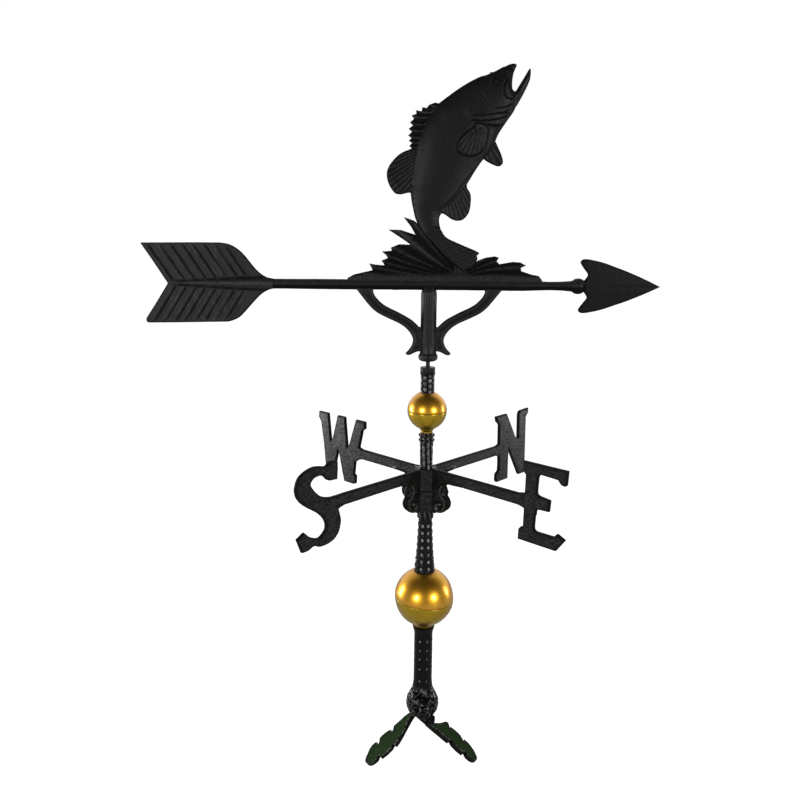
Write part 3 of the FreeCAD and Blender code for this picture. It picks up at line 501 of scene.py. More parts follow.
    def onto(self, pad: MeshPad, plane: Plane, front: Shaping,
             back: Optional[Shaping] = None) -> None:
        """Shapes both faces, joins them at the edge and adds the casting to a pad.

        Args:
            pad: what collects the casting.
            plane: where it lies.
            front: gives height, rubbing and painted highlight, and painted shade for points and
                their distance to the edge.
            back: the same for the rear face, or None for a mirror of the front.
        """
        # Painted shade: a band along every outline goes into the shade mask and loses its
        # highlight.
        rim = np.clip(1 - self.edge / self.rim_shade_width, 0, 1) ** 0.7
        high, wear_and_highlight, deep = front(self.flat, self.edge)
        low, back_wear_and_highlight, deep_low = (back or front)(self.flat, self.edge)
        wear_and_highlight, back_wear_and_highlight = wear_and_highlight * (1 - rim), back_wear_and_highlight * (1 - rim)
        deep, deep_low = np.maximum(deep, rim), np.maximum(deep_low, rim)
        count = len(self.flat)
        points = np.vstack([plane.place(self.flat, high), plane.place(self.flat, -low)])
        faces: list[Sequence[int]] = list(self.triangles)
        faces += [(c + count, b + count, a + count) for a, b, c in self.triangles]
        faces += [(two, one, one + count, two + count) for one, two in self.border]
        pad.add(points, faces, np.concatenate([wear_and_highlight, back_wear_and_highlight]), np.concatenate([deep, deep_low]))


def crown(edge: Points, low: float, high: float, reach: float) -> Points:
    """A rounded shoulder: low at the edge, high from reach inwards."""
    part = 1 - np.clip(edge / reach, 0, 1)
    return low + (high - low) * np.sqrt(np.maximum(1 - part * part, 0))


def ring_faces(rings: int, steps: int) -> list[Sequence[int]]:
    """Four-sided faces between rings of points, the last of which joins the first.

    Args:
        rings: how many rings.
        steps: how many points each has.

    Returns:
        Each face's point numbers.
    """
    return [(ring * steps + step, ring * steps + (step + 1) % steps,
             (ring + 1) % rings * steps + (step + 1) % steps, (ring + 1) % rings * steps + step)
            for ring in range(rings) for step in range(steps)]


def turned(profile: Line, steps: int = 96, skin: Optional[Skin] = None,
           pitch: float = 1.0, axis: str = "z", origin: Sequence[float] = (0, 0, 0)
           ) -> tuple[Points, list[Sequence[int]], Points, Points]:
    """Turns a closed profile round an axis.

    Args:
        profile: radius and height of each corner, closed, anticlockwise.
        steps: how many sides.
        skin: gives a change of radius, rubbing and painted highlight, and painted shade for angles,
            heights and radii.
        pitch: the longest stretch of the profile.
        axis: x, y or z.
        origin: what the profile's zero stands on.

    Returns:
        Points, faces, rubbing and painted highlight, and painted shade.
    """
    line = divided(profile, pitch)
    turn = np.tile(np.arange(steps) * 2 * math.pi / steps, len(line))
    radius = np.repeat(line[:, 0], steps)
    height = np.repeat(line[:, 1], steps)
    wear_and_highlight = np.zeros(len(turn))
    deep = np.zeros(len(turn))
    if skin is not None:
        change, wear_and_highlight, deep = skin(turn, height, radius)
        radius = np.maximum(radius + change, 0.05)
    order = {"z": (0, 1, 2), "x": (2, 0, 1), "y": (1, 2, 0)}[axis]
    points = around(turn, height, radius)[:, order] + np.array(origin, float)
    return points, ring_faces(len(line), steps), wear_and_highlight, deep


# Finishes


class Groups:
    """Shader effects that more than one finish uses."""

    @staticmethod
    def empty(name: str, inputs: Sequence[tuple[str, str, object]],
              outputs: Sequence[tuple[str, str]]) -> tuple["Net", Sockets, Sockets]:
        """Makes a group with its sockets.

        Args:
            name: the group's name.
            inputs: socket name, kind and value.
            outputs: socket name and kind.

        Returns:
            The group's nodes, what comes into it and what it puts out.
        """
        tree = bpy.data.node_groups.new(name, "ShaderNodeTree")
        for label, kind, value in inputs:
            socket = tree.interface.new_socket(label, in_out="INPUT",
                                               socket_type="NodeSocket" + kind)
            socket.default_value = value
        for label, kind in outputs:
            tree.interface.new_socket(label, in_out="OUTPUT", socket_type="NodeSocket" + kind)
        return (Net(tree), tree.nodes.new("NodeGroupInput").outputs,
                tree.nodes.new("NodeGroupOutput").inputs)

    @staticmethod
    @cache
    def cast_skin() -> bpy.types.NodeTree:
        """Powder coat over a sand casting: mottled colour, a lighter colour on edges and ridges
        that is partly rubbing and partly painted highlight, and painted shade in hollows and at
        rims.

        Returns:
            The group.
        """
        net, source, result = Groups.empty(
            "cast_skin",
            [("Coat", "Color", (0.02, 0.02, 0.02, 1)), ("Rubbed_Highlight", "Color", (0.1, 0.1, 0.1, 1)),
             ("Painted_Shade", "Color", (0.05, 0.05, 0.05, 1)), ("Gloss", "Float", 0.4),
             ("Grain", "Float", 900.0), ("Mottle", "Float", 0.4), ("Peel", "Float", 0.5),
             ("Shine", "Float", 0.2), ("Across", "Vector", (1.0, 1.0, 1.0))],
            [("Color", "Color"), ("Roughness", "Float"), ("Height", "Float"), ("Coat", "Float")])
        place = net.place()
        stretched = net.stretch(place, source["Across"])
        grain = net.noise(stretched, source["Grain"], 3.0, 0.6)
        broad = net.noise(place, 60.0, 2.0, 0.5)
        lumps = net.noise(stretched, 260.0, 2.0, 0.55)
        wear_and_highlight = net.attribute("wear_and_highlight")
        deep = net.attribute("deep")
        patchy_wear_highlight = net.math("MULTIPLY", wear_and_highlight, net.ramp(lumps, 0.3, 0.62))
        swing = net.math("SUBTRACT", net.ramp(grain, 0.3, 0.7), 0.675)
        swing = net.math("MULTIPLY_ADD", broad, 0.35, swing)
        gain = net.math("MULTIPLY_ADD", swing, source["Mottle"], 1.0)
        gain = net.math("MAXIMUM", gain, 0.15)
        coat = net.scale(source["Coat"], gain)
        # Painted shade: hollows and rims are mixed towards the shade colour.
        shaded = net.mix(coat, source["Painted_Shade"], net.math("MULTIPLY", deep, 0.85))
        # Painted highlight, partly rubbing: edges, ridges and knob tops are mixed towards the
        # lighter colour in patches.
        color = net.mix(shaded, source["Rubbed_Highlight"], net.math("MULTIPLY", patchy_wear_highlight, 0.7))
        rough = net.math("MULTIPLY_ADD", net.math("SUBTRACT", broad, 0.5), 0.16, source["Gloss"])
        rough = net.math("MULTIPLY_ADD", deep, 0.12, rough)
        height = net.math("MULTIPLY_ADD", lumps, source["Peel"], net.math("MULTIPLY", grain, 0.4))
        shine = net.math("MULTIPLY", source["Shine"], net.math("MULTIPLY_ADD", deep, -0.9, 1.0))
        shine = net.math("MULTIPLY", shine, net.math("MULTIPLY_ADD", patchy_wear_highlight, 0.6, gain))
        shine = net.math("MINIMUM", shine, 1.0)
        for value, label in ((color, "Color"), (rough, "Roughness"), (height, "Height"),
                             (shine, "Coat")):
            net.link(value, result[label])
        return net.tree

    @staticmethod
    @cache
    def spun_lines() -> bpy.types.NodeTree:
        """Fine lines left by spinning or turning, and a cloudy lacquer.

        Returns:
            The group.
        """
        net, source, result = Groups.empty(
            "spun_lines",
            [("Metal", "Color", (0.6, 0.4, 0.1, 1)), ("Tarnish_And_Shade", "Color", (0.3, 0.2, 0.05, 1)),
             ("Gloss", "Float", 0.3), ("Lines", "Float", 1.0),
             ("Along", "Vector", (40.0, 40.0, 2600.0))],
            [("Color", "Color"), ("Roughness", "Float"), ("Height", "Float")])
        place = net.place()
        lines = net.noise(net.stretch(place, source["Along"]), 1.0, 2.0, 0.6)
        cloud = net.noise(place, 38.0, 3.0, 0.6)
        deep = net.attribute("deep")
        # Painted shade: where deep marks a globe's seam or ends, the colour is mixed towards the
        # second colour; the clouds mix it in at random.
        shade = net.math("MULTIPLY_ADD", deep, 0.8,
                         net.math("MULTIPLY", net.ramp(cloud, 0.45, 0.75), 0.35))
        net.link(net.mix(source["Metal"], source["Tarnish_And_Shade"], shade), result["Color"])
        rough = net.math("MULTIPLY_ADD", net.math("SUBTRACT", cloud, 0.5), 0.12, source["Gloss"])
        net.link(net.math("MULTIPLY_ADD", deep, 0.3, rough), result["Roughness"])
        net.link(net.math("MULTIPLY", lines, source["Lines"]), result["Height"])
        return net.tree


class Net:
    """Short ways to add and join shader nodes in one tree."""

    def __init__(self, tree: bpy.types.NodeTree) -> None:
        """Keeps the tree."""
        self.tree = tree

    def node(self, kind: str) -> bpy.types.Node:
        """Adds a node."""
        return self.tree.nodes.new("ShaderNode" + kind)

    def link(self, value: object, socket: Socket) -> None:
        """Joins a socket to another, or sets a plain value.

        Args:
            value: the socket or the plain value.
            socket: what it goes into.
        """
        if isinstance(value, Socket):
            self.tree.links.new(value, socket)
        else:
            socket.default_value = value

    def add(self, kind: str, inputs: dict, output: object = 0, **settings: object) -> Socket:
        """Adds a node, sets it and fills its inputs.

        Args:
            kind: which node.
            inputs: a socket or a plain value for each input, by name or number.
            output: the output that is wanted, by name or number.
            **settings: the node's own settings.

        Returns:
            The output.
        """
        node = self.node(kind)
        for label, value in settings.items():
            setattr(node, label, value)
        for label, value in inputs.items():
            self.link(value, node.inputs[label])
        return node.outputs[output]

    def place(self, output: str = "Object") -> Socket:
        """Where a point of the surface lies."""
        return self.node("TexCoord").outputs[output]

    def stretch(self, place: object, sizes: object) -> Socket:
        """Stretches places by a factor for each axis."""
        return self.add("VectorMath", {0: place, 1: sizes}, operation="MULTIPLY")

    def math(self, operation: str, *values: object) -> Socket:
        """Does one sum."""
        return self.add("Math", dict(enumerate(values)), operation=operation)

    def noise(self, place: object, scale: object, detail: float, rough: float) -> Socket:
        """Adds noise and gives its value."""
        return self.add("TexNoise", {"Vector": place, "Scale": scale, "Detail": detail,
                                     "Roughness": rough})

    def ramp(self, value: object, low: float, high: float) -> Socket:
        """Stretches a value from low and high to 0 and 1."""
        return self.add("MapRange", {"Value": value, "From Min": low, "From Max": high})

    def attribute(self, name: str) -> Socket:
        """Reads a value kept on the mesh."""
        return self.add("Attribute", {}, "Fac", attribute_name=name)

    def mix(self, one: object, two: object, share: object) -> Socket:
        """Mixes two colours."""
        return self.add("Mix", {0: share, 6: one, 7: two}, 2, data_type="RGBA")

    def scale(self, color: object, gain: object) -> Socket:
        """Brightens or darkens a colour."""
        return self.add("VectorMath", {0: color, "Scale": gain}, operation="SCALE")

    def rays(self) -> tuple[Socket, Socket]:
        """Whether a ray comes straight from the camera, and whether it is a reflection.

        Returns:
            The two values, from 0 to 1.
        """
        rays = self.node("LightPath").outputs
        straight = self.math("MAXIMUM", rays["Is Camera Ray"], rays["Is Transmission Ray"])
        return straight, rays["Is Glossy Ray"]


def rgba(color: Color) -> tuple[float, float, float, float]:
    """A colour with full cover."""
    return (*color, 1.0)


class Finish:
    """A surface finish. It makes its material once, and never takes one of the frame's own."""

    name: str

    def material(self) -> bpy.types.Material:
        """Gives the finish's material."""
        raise NotImplementedError

    def start(self) -> tuple[bpy.types.Material, Net, Sockets]:
        """Starts a new material.

        Returns:
            The material, its nodes and the inputs of its Principled shader.
        """
        material = bpy.data.materials.new(self.name)
        material.use_nodes = True
        nodes = material.node_tree.nodes
        return material, Net(material.node_tree), nodes["Principled BSDF"].inputs

    @staticmethod
    def effect(net: Net, shader: Sockets, tree: bpy.types.NodeTree, values: dict[str, object],
               depth: float, strength: float) -> Sockets:
        """Places an effect and joins its colour, roughness and height to the shader.

        Args:
            net: the material's nodes.
            shader: the inputs of the Principled shader.
            tree: the effect's group.
            values: what the group's inputs are set to.
            depth: how deep its height is, in metres.
            strength: how strongly the height shows.

        Returns:
            What the effect puts out.
        """
        group = net.node("Group")
        group.node_tree = tree
        for label, value in values.items():
            group.inputs[label].default_value = value
        net.link(group.outputs["Color"], shader["Base Color"])
        net.link(group.outputs["Roughness"], shader["Roughness"])
        net.link(net.add("Bump", {"Strength": strength, "Distance": depth,
                                  "Height": group.outputs["Height"]}), shader["Normal"])
        return group.outputs


@dataclass(frozen=True)
class CastCoat(Finish):
    """Powder-coated cast aluminium."""

    name: str
    coat: Color
    rubbed_highlight: Color
    painted_shade: Color
    gloss: float
    grain: float = 900.0
    mottle: float = 0.5
    peel: float = 0.5
    across: tuple[float, float, float] = (1.0, 1.0, 1.0)
    depth: float = 0.00025
    bump_strength: float = 0.6
    shine: float = 0.3
    specular: float = 0.06

    @cache
    def material(self) -> bpy.types.Material:
        """Makes the material, once.

        Returns:
            The material.
        """
        material, net, shader = self.start()
        values = {"Coat": rgba(self.coat), "Rubbed_Highlight": rgba(self.rubbed_highlight), "Painted_Shade": rgba(self.painted_shade),
                  "Gloss": self.gloss, "Grain": self.grain, "Mottle": self.mottle,
                  "Peel": self.peel, "Across": self.across, "Shine": self.shine}
        result = self.effect(net, shader, Groups.cast_skin(), values, self.depth,
                             self.bump_strength)
        net.link(result["Coat"], shader["Coat Weight"])
        shader["Coat Roughness"].default_value = self.gloss
        shader["Specular IOR Level"].default_value = self.specular
        return material


@dataclass(frozen=True)
class SpunMetal(Finish):
    """Bare or lacquered metal with turning lines."""

    name: str
    metal: Color
    tarnish_and_shade: Color
    gloss: float
    along: tuple[float, float, float] = (40.0, 40.0, 2600.0)
    lines: float = 1.0
    depth: float = 0.00002
    bump_strength: float = 0.5
    lacquer: float = 0.0
    lacquer_gloss: float = 0.13

    @cache
    def material(self) -> bpy.types.Material:
        """Makes the material, once.

        Returns:
            The material.
        """
        material, net, shader = self.start()
        values = {"Metal": rgba(self.metal), "Tarnish_And_Shade": rgba(self.tarnish_and_shade),
                  "Gloss": self.gloss, "Lines": self.lines, "Along": self.along}
        self.effect(net, shader, Groups.spun_lines(), values, self.depth, self.bump_strength)
        shader["Metallic"].default_value = 1.0
        shader["Coat Weight"].default_value = self.lacquer
        shader["Coat Roughness"].default_value = self.lacquer_gloss
        return material


@dataclass(frozen=True)
class Moulded(Finish):
    """Plain moulded plastic."""

    name: str
    color: Color
    gloss: float

    @cache
    def material(self) -> bpy.types.Material:
        """Makes the material, once.

        Returns:
            The material.
        """
        material, net, shader = self.start()
        cloud = net.noise(net.place(), 300.0, 2.0, 0.5)
        shade = net.math("MULTIPLY_ADD", cloud, 0.2, 0.9)
        net.link(net.scale(self.color, shade), shader["Base Color"])
        shader["Roughness"].default_value = self.gloss
        return material


# This shade colour is what the black coats are mixed towards in hollows and at rims: painted shade.
# Each coat's second colour is its lighter colour for rubbing and painted highlight.
SHADE_COLOR = (0.0022, 0.0022, 0.0022)
BLACK = CastCoat("black_cast", (0.0080, 0.0080, 0.0071), (0.060, 0.058, 0.056), SHADE_COLOR, 0.42,
                 shine=0.30, specular=0.05)
BLACK_VANE = CastCoat("black_vane", (0.0145, 0.0124, 0.0138), (0.08, 0.072, 0.076), SHADE_COLOR, 0.5,
                      1400.0, 0.3, 0.4, shine=0.2, specular=0.05)
BLACK_FISH = CastCoat("black_fish", (0.0064, 0.0058, 0.0054), (0.060, 0.055, 0.053), SHADE_COLOR, 0.45,
                      1100.0, 0.2, 0.35, shine=0.22, specular=0.04)
BLACK_HEAD = CastCoat("black_head", (0.0046, 0.0043, 0.0040), (0.050, 0.046, 0.044), SHADE_COLOR, 0.45,
                      1100.0, 0.3, 0.35, shine=0.15, specular=0.03)
BLACK_REED = CastCoat("black_reed", (0.0070, 0.0062, 0.0058), (0.060, 0.053, 0.049), SHADE_COLOR, 0.42,
                      1100.0, 0.25, 0.4, shine=0.25, specular=0.04)
BLACK_GRAIN = CastCoat("black_grained", (0.0060, 0.0052, 0.0042), (0.06, 0.056, 0.050), SHADE_COLOR,
                       0.36, 1150.0, 2.2, 1.0, (0.2, 0.2, 1.0), 0.0005, 0.8, 0.50, 0.05)
# Bead, knob and ball coats: their light second colours are painted highlights on bead and knob tops
# and painted glints on the ball's ridges.
BLACK_BEAD = CastCoat("black_bead", (0.0050, 0.0052, 0.0056), (0.30, 0.30, 0.32), SHADE_COLOR, 0.2,
                      900.0, 0.25, 0.5, shine=0.6)
BLACK_BARK = CastCoat("black_bark", (0.0035, 0.0038, 0.0035), (0.42, 0.42, 0.44), SHADE_COLOR, 0.2,
                      900.0, 0.25, 0.5, shine=0.3, specular=0.04)
BLACK_BALL = CastCoat("black_ball", (0.0054, 0.0058, 0.0051), (0.92, 0.90, 0.92), SHADE_COLOR, 0.2,
                      900.0, 0.3, 0.8, shine=0.5, specular=0.03)
LEAF_GREEN = CastCoat("green_coat", (0.0230, 0.0440, 0.0175), (0.036, 0.062, 0.028),
                      (0.004, 0.008, 0.004), 0.6, 700.0, 0.6, 0.4, shine=0.0, specular=0.0)
LEAF_BLACK = CastCoat("leaf_edge", (0.0045, 0.0048, 0.0042), (0.30, 0.30, 0.29), SHADE_COLOR, 0.25,
                      900.0, 0.3, 0.8, shine=0.3, specular=0.0)
GOLD_UPPER = SpunMetal("gold_upper", (0.74, 0.37, 0.022), (0.28, 0.11, 0.008), 0.34, lacquer=0.6)
# The lower halves' gold is a darker, more olive copy of the upper halves' gold: painted shade
# standing in for what the lower halves reflect.
GOLD_LOWER_SHADED = SpunMetal("gold_lower_shaded", (0.54, 0.35, 0.016), (0.22, 0.12, 0.010), 0.30, lacquer=0.35)
STEEL = SpunMetal("bare_steel", (0.36, 0.36, 0.37), (0.16, 0.15, 0.14), 0.38,
                  (2200.0, 2200.0, 2200.0), 0.6)
STEEL_DARK = SpunMetal("blackened_steel", (0.10, 0.10, 0.105), (0.05, 0.05, 0.05), 0.4,
                       (1800.0, 1800.0, 1800.0), 0.8)
BUSH = Moulded("bush_plastic", (0.62, 0.60, 0.54), 0.5)


@dataclass(frozen=True)
class Groove:
    """A carved line: where it runs, how deep and wide it is, and the lip beside it."""

    line: Line
    depth: float = 0.8
    width: float = 0.75
    lip: float = 0.3

    def carve(self, flat: Points, relief: Surface) -> Surface:
        """Cuts the line into a face's height, with painted shade in it and painted highlight on its
        lip.

        Args:
            flat: points of the face.
            relief: their height, rubbing and painted highlight, and painted shade.

        Returns:
            The same, carved.
        """
        high, wear_and_highlight, deep = relief
        gap, share = line_distance(flat, curve(self.line, 5))
        fade = ease(share, 0.0, 0.14) * ease(1 - share, 0.0, 0.14)
        cut = bell(gap, self.width) * fade
        lip = bell(gap - 2.1 * self.width, 1.1 * self.width) * fade
        return (high - self.depth * cut + self.lip * lip, np.maximum(wear_and_highlight, self.lip * lip),
                np.maximum(deep, cut * min(1.0, self.depth * 1.3)))


# Ornament: the leaping bass and its reeds


@dataclass
class BassOrnament:
    """The leaping bass, its fins and the splash of reeds, on the arrow's flat.

    Outlines are in millimetres: along the shaft from the spindle, and up from the flat.
    """

    foot: float
    body_half: float = 9.0
    fin_half: float = 2.0
    back: Line = (
        (72, 212.6), (60, 206.8), (45, 201), (30, 193), (14.6, 182.6), (2, 172.5), (-8, 157),
        (-14, 140), (-18, 122), (-20.5, 105), (-21, 88), (-18.5, 74), (-15, 61), (-8, 49), (4, 36))
    belly: Line = (
        (78, 191), (83, 184), (85.2, 173.4), (77, 160.4), (68.6, 147.4), (62.6, 133), (52.5, 121),
        (45, 110), (38.4, 99), (30, 88), (17.4, 75), (10.3, 66), (9.6, 58), (12.5, 49), (19, 41.4))
    tips: Line = (
        (-3.2, 175.8), (-10.2, 173.4), (-16.6, 170.4), (-20.9, 165.4), (-22.6, 158.6),
        (-23.8, 152.4), (-24.2, 146), (-23.6, 140.8), (-23, 135.8))
    notches: Line = (
        (-5.3, 172.8), (-10.6, 169.6), (-16, 167), (-18.4, 162.2), (-19.4, 155.8), (-20.4, 149.4),
        (-20.8, 143.2), (-20.2, 138.4), (-20.4, 133))
    soft_dorsal: Line = (
        (-14, 133), (-24, 131.6), (-33, 127.4), (-40.5, 120.2), (-45.2, 112.8), (-46.2, 105.4),
        (-44, 97.4), (-40, 91), (-36.3, 87.8), (-30.7, 87.3), (-23.4, 89), (-15, 90), (-12, 110))
    pelvic: Line = (
        (58, 138), (65, 141), (69.4, 134), (72.8, 127), (74.6, 120.6), (72.6, 117), (68.8, 116.3),
        (62.4, 118.6), (56.5, 121.7), (53, 125), (50, 131))
    anal: Line = (
        (30, 102), (37, 98.5), (38.2, 94), (41.6, 88.4), (42.3, 80), (40.6, 69.6), (35, 62.4),
        (28.6, 60.8), (22.4, 62.4), (17, 66), (12.6, 68.2), (9.5, 67), (6, 76), (18, 92))
    tail: Line = (
        (4, 56), (11, 52), (14.6, 46.4), (20, 42), (34.4, 35.8), (51.8, 28.4), (50.3, 25),
        (50.8, 20.4), (46.4, 13.4), (40, 9.8), (34, 9.4), (26, 15.4), (15, 24), (3, 37), (-6, 47))
    splash: Line = (
        (-88, -3.2), (-87.4, 0.6), (-80.7, 4.2), (-72, 6.3), (-61, 8.8), (-62.4, 12), (-64.6, 15.8),
        (-57, 14.6), (-48.4, 14), (-49.4, 16.5), (-51.5, 18.9), (-44.6, 21.8), (-46.8, 25),
        (-51.3, 28.4), (-40.6, 29.4), (-41.4, 32.6), (-32.7, 36.2), (-20.8, 35.8), (-26, 39.6),
        (-44.3, 51.2), (-31, 51), (-15.6, 46.2), (-20, 54), (-28.2, 64.3), (-17.5, 60.8), (-11, 56),
        (-4, 49), (4, 40.2), (9.5, 33.2), (19.2, 23), (27.1, 16.2), (34, 10.6), (40, 9.8),
        (46, 13.2), (51.4, 19.8), (60, 23), (69.5, 24.4), (74, 23), (71.6, 19.2), (74.8, 16.2),
        (89.1, 18.8), (97, 18.2), (103.2, 15), (97.8, 12.4), (98.2, 9.2), (109.2, 5.6),
        (117, 4.2), (120.4, -0.4), (120.4, -3.2))
    jaw: Line = (
        (76, 186), (80.8, 187.8), (82.2, 190.4), (83.6, 189.2), (85.4, 190.3), (88.6, 195.6),
        (92.7, 202.2), (96.7, 209), (98.4, 211.2), (99.3, 209.6), (99.4, 204.8), (98.6, 199.6),
        (94.4, 189.8), (89.2, 180), (84.5, 172.4), (79.9, 165.4), (74, 165), (72, 178))
    snout: Line = (
        (58, 205.8), (62.4, 207.4), (67.6, 209.8), (73.5, 213), (78.1, 215), (81.6, 215.6),
        (84, 215.2), (84.8, 213.4), (82.8, 208.8), (81.6, 204.2), (81, 198.4), (81.2, 193.2),
        (82.2, 190.4), (83.6, 189.2), (78, 184), (64, 190))
    pectoral: Line = (
        (46.1, 157.4), (41.5, 152.8), (35, 147.6), (28.6, 141), (25.9, 134.3), (28, 129.2),
        (35.2, 126.3), (43, 125.8), (50, 129), (54.8, 136), (56.6, 145.4), (56, 154))
    grooves: Sequence[Groove] = (
        Groove(((34.8, 187), (34.4, 177), (34.4, 167), (35.4, 162.2)), 0.45, 0.8, 0.15),
        Groove(((46.6, 188), (54, 179.1), (60.2, 171.2)), 0.25, 0.9, 0.15),
        Groove(((38.6, 166.1), (48.2, 165), (56.9, 165.7), (66.2, 166.9), (74.2, 168.2),
                (80.3, 171.7), (84.4, 176.4)), 0.6, 0.7, 0.35),
        Groove(((62, 172.2), (70, 172.4), (78, 174.8), (85, 180)), 0.5, 0.7, 0.35),
        Groove(((37, 160.8), (45.9, 159.7), (58.3, 160.4), (66.4, 161.7), (73.2, 163.5),
                (79.4, 167.6)), 0.75, 0.7, 0.4),
        Groove(((54, 156.6), (64.7, 155.6), (72.2, 156.8), (76.6, 159.4)), 1.0, 0.65, 0.45),
        Groove(((77, 206), (74.9, 199.5), (72.5, 193.2), (72.3, 186.8), (74.3, 183.1),
                (78.1, 181.3), (84, 181.4)), 0.95, 0.75, 0.3),
        Groove(((77.6, 200), (79, 190.6), (82.2, 185)), 0.7, 0.6, 0.3),
        Groove(((58, 124), (46, 112), (34, 98.5), (24, 85), (12, 74)), 0.35, 1.3, 0.3))
    jaw_line: Groove = Groove(((80.4, 180.4), (87, 189.3), (92.8, 198.5), (98.4, 208.8)), 1.0, 0.7,
                              0.45)

    def __post_init__(self) -> None:
        """Works out the spine that the body swells around, and the spiny fin's outline."""
        pairs = [(np.array(a, float), np.array(b, float)) for a, b in zip(self.back, self.belly)]
        self.spine = [tuple((a + b) / 2) for a, b in pairs]
        self.halves = np.array([np.linalg.norm(a - b) / 2 for a, b in pairs])
        self.swell = np.array([0.62, 0.8, 0.95, 1.0, 1.0, 1.0, 0.98, 0.92, 0.85, 0.76, 0.66, 0.56,
                               0.5, 0.46, 0.44])
        self.spiny = [spot for pair in zip(self.tips, self.notches) for spot in pair]
        self.spiny = [(3.0, 178.0)] + self.spiny + [(-18, 130), (-10, 128), (4, 150), (12, 176)]

    def body_height(self, flat: Points) -> Points:
        """How far the body stands out of the middle plane.

        Args:
            flat: points of the face.

        Returns:
            Heights.
        """
        fine = curve(self.spine, 5)
        gap, share = line_distance(flat, fine)
        place = share * (len(self.spine) - 1)
        half = np.interp(place, np.arange(len(self.halves)), self.halves)
        swell = np.interp(place, np.arange(len(self.swell)), self.swell)
        part = np.clip(gap / (half * 1.04), 0, 1)
        return self.body_half * swell * (1 - part ** 2.2) ** 0.55

    def shape_body(self, flat: Points, edge: Points) -> Surface:
        """Body relief: gills, mouth, pectoral fin, eye and the scaled band along the back.

        Args:
            flat: points of the face.
            edge: how far in they lie.

        Returns:
            Height, rubbing and painted highlight, and painted shade.
        """
        high = np.maximum(self.body_height(flat), crown(edge, 0.9, 2.6, 2.2))
        relief = (high, np.zeros(len(flat)), np.zeros(len(flat)))
        for groove in self.grooves:
            relief = groove.carve(flat, relief)
        high, wear_and_highlight, deep = relief
        eye = np.hypot((flat[:, 0] - 63.6) / 1.2, flat[:, 1] - 197.8)
        high = high + 0.5 * np.exp(-(eye / 1.9) ** 4) - 0.4 * bell(eye - 3.0, 0.7)
        # Painted shade round the eye, and a painted highlight on the left side of the ring outside
        # it.
        deep = np.maximum(deep, 0.7 * bell(eye - 2.6, 1.0))
        wear_and_highlight = np.maximum(wear_and_highlight, 0.3 * bell(eye - 4.6, 0.9) * (flat[:, 0] < 62))
        high, wear_and_highlight, deep = self.add_pectoral(flat, high, wear_and_highlight, deep)
        band, _ = line_distance(flat, curve(self.back[7:14], 5))
        along = flat[:, 1] + 0.35 * flat[:, 0]
        zone = bell(band - 2.6, 1.7)
        scales = np.abs(np.sin(along * 1.9)) * np.abs(np.sin(band * 1.7 + along * 0.5))
        high = high + 0.5 * zone * (scales - 0.3)
        # Painted highlight on the tops of the scales along the back.
        wear_and_highlight = np.maximum(wear_and_highlight, zone * scales)
        high = high + 0.07 * flat_noise(flat, 2.6, 3) + 0.3 * flat_noise(flat, 17, 5)
        return high, wear_and_highlight, deep

    def add_pectoral(self, flat: Points, high: Points, wear_and_highlight: Points, deep: Points) -> Surface:
        """Lays the rayed pectoral fin on the body's side.

        Args:
            flat: points of the face.
            high: their height.
            wear_and_highlight: their rubbing and painted highlight.
            deep: their painted shade.

        Returns:
            Height, rubbing and painted highlight, and painted shade.
        """
        ring = np.array(curve(self.pectoral, 4, closed=True))
        after = np.roll(ring, -1, axis=0)
        gap = distance_to(flat, ring, after)[0]
        inside = is_inside(flat, ring, after)
        signed = np.where(inside, gap, -gap)
        step = ease(signed, -0.5, 0.9)
        angle = np.arctan2(flat[:, 1] - 163, flat[:, 0] - 52)
        rays = np.abs(np.sin(angle * 25))
        inner = step * ease(signed, 0.8, 2.0)
        high = high + 0.9 * step + 0.8 * (rays - 0.6) * inner
        groove = bell(signed + 0.8, 0.75)
        high = high - 0.5 * groove
        wear_and_highlight = np.maximum(wear_and_highlight * (1 - step), inner * rays ** 3 * 0.5)
        deep = np.maximum(deep * (1 - step), np.maximum(groove, inner * (1 - rays) ** 1.5))
        return high, wear_and_highlight, deep

    def fin_shape(self, hub: Spot, count: float, half: float, bend: float = 0.0) -> Shaping:
        """Fin relief with rays that spread from a hub.

        Args:
            hub: where the rays meet.
            count: rays for each half turn.
            half: how far the fin stands out of the middle plane.
            bend: how much the rays bend as they run out.

        Returns:
            The shaping of the fin.
        """

        def shape(flat: Points, edge: Points) -> Surface:
            """Heights of the fin's ribs.

            Args:
                flat: points of the face.
                edge: how far in they lie.

            Returns:
                Height, rubbing and painted highlight, and painted shade.
            """
            across = flat - np.array(hub)
            reach = np.hypot(across[:, 0], across[:, 1])
            angle = np.arctan2(across[:, 1], across[:, 0]) + bend * reach
            rays = np.abs(np.sin(angle * count + 0.5 * flat_noise(flat, 9.0, 10)))
            inner = ease(edge, 0.2, 1.5)
            high = crown(edge, 0.8, half, 1.5) + 0.8 * (rays - 0.5) * inner
            high = high + 0.1 * flat_noise(flat, 2.0, 9)
            return high, rays ** 4 * 0.55 * inner, (1 - rays) ** 1.5 * inner

        return shape

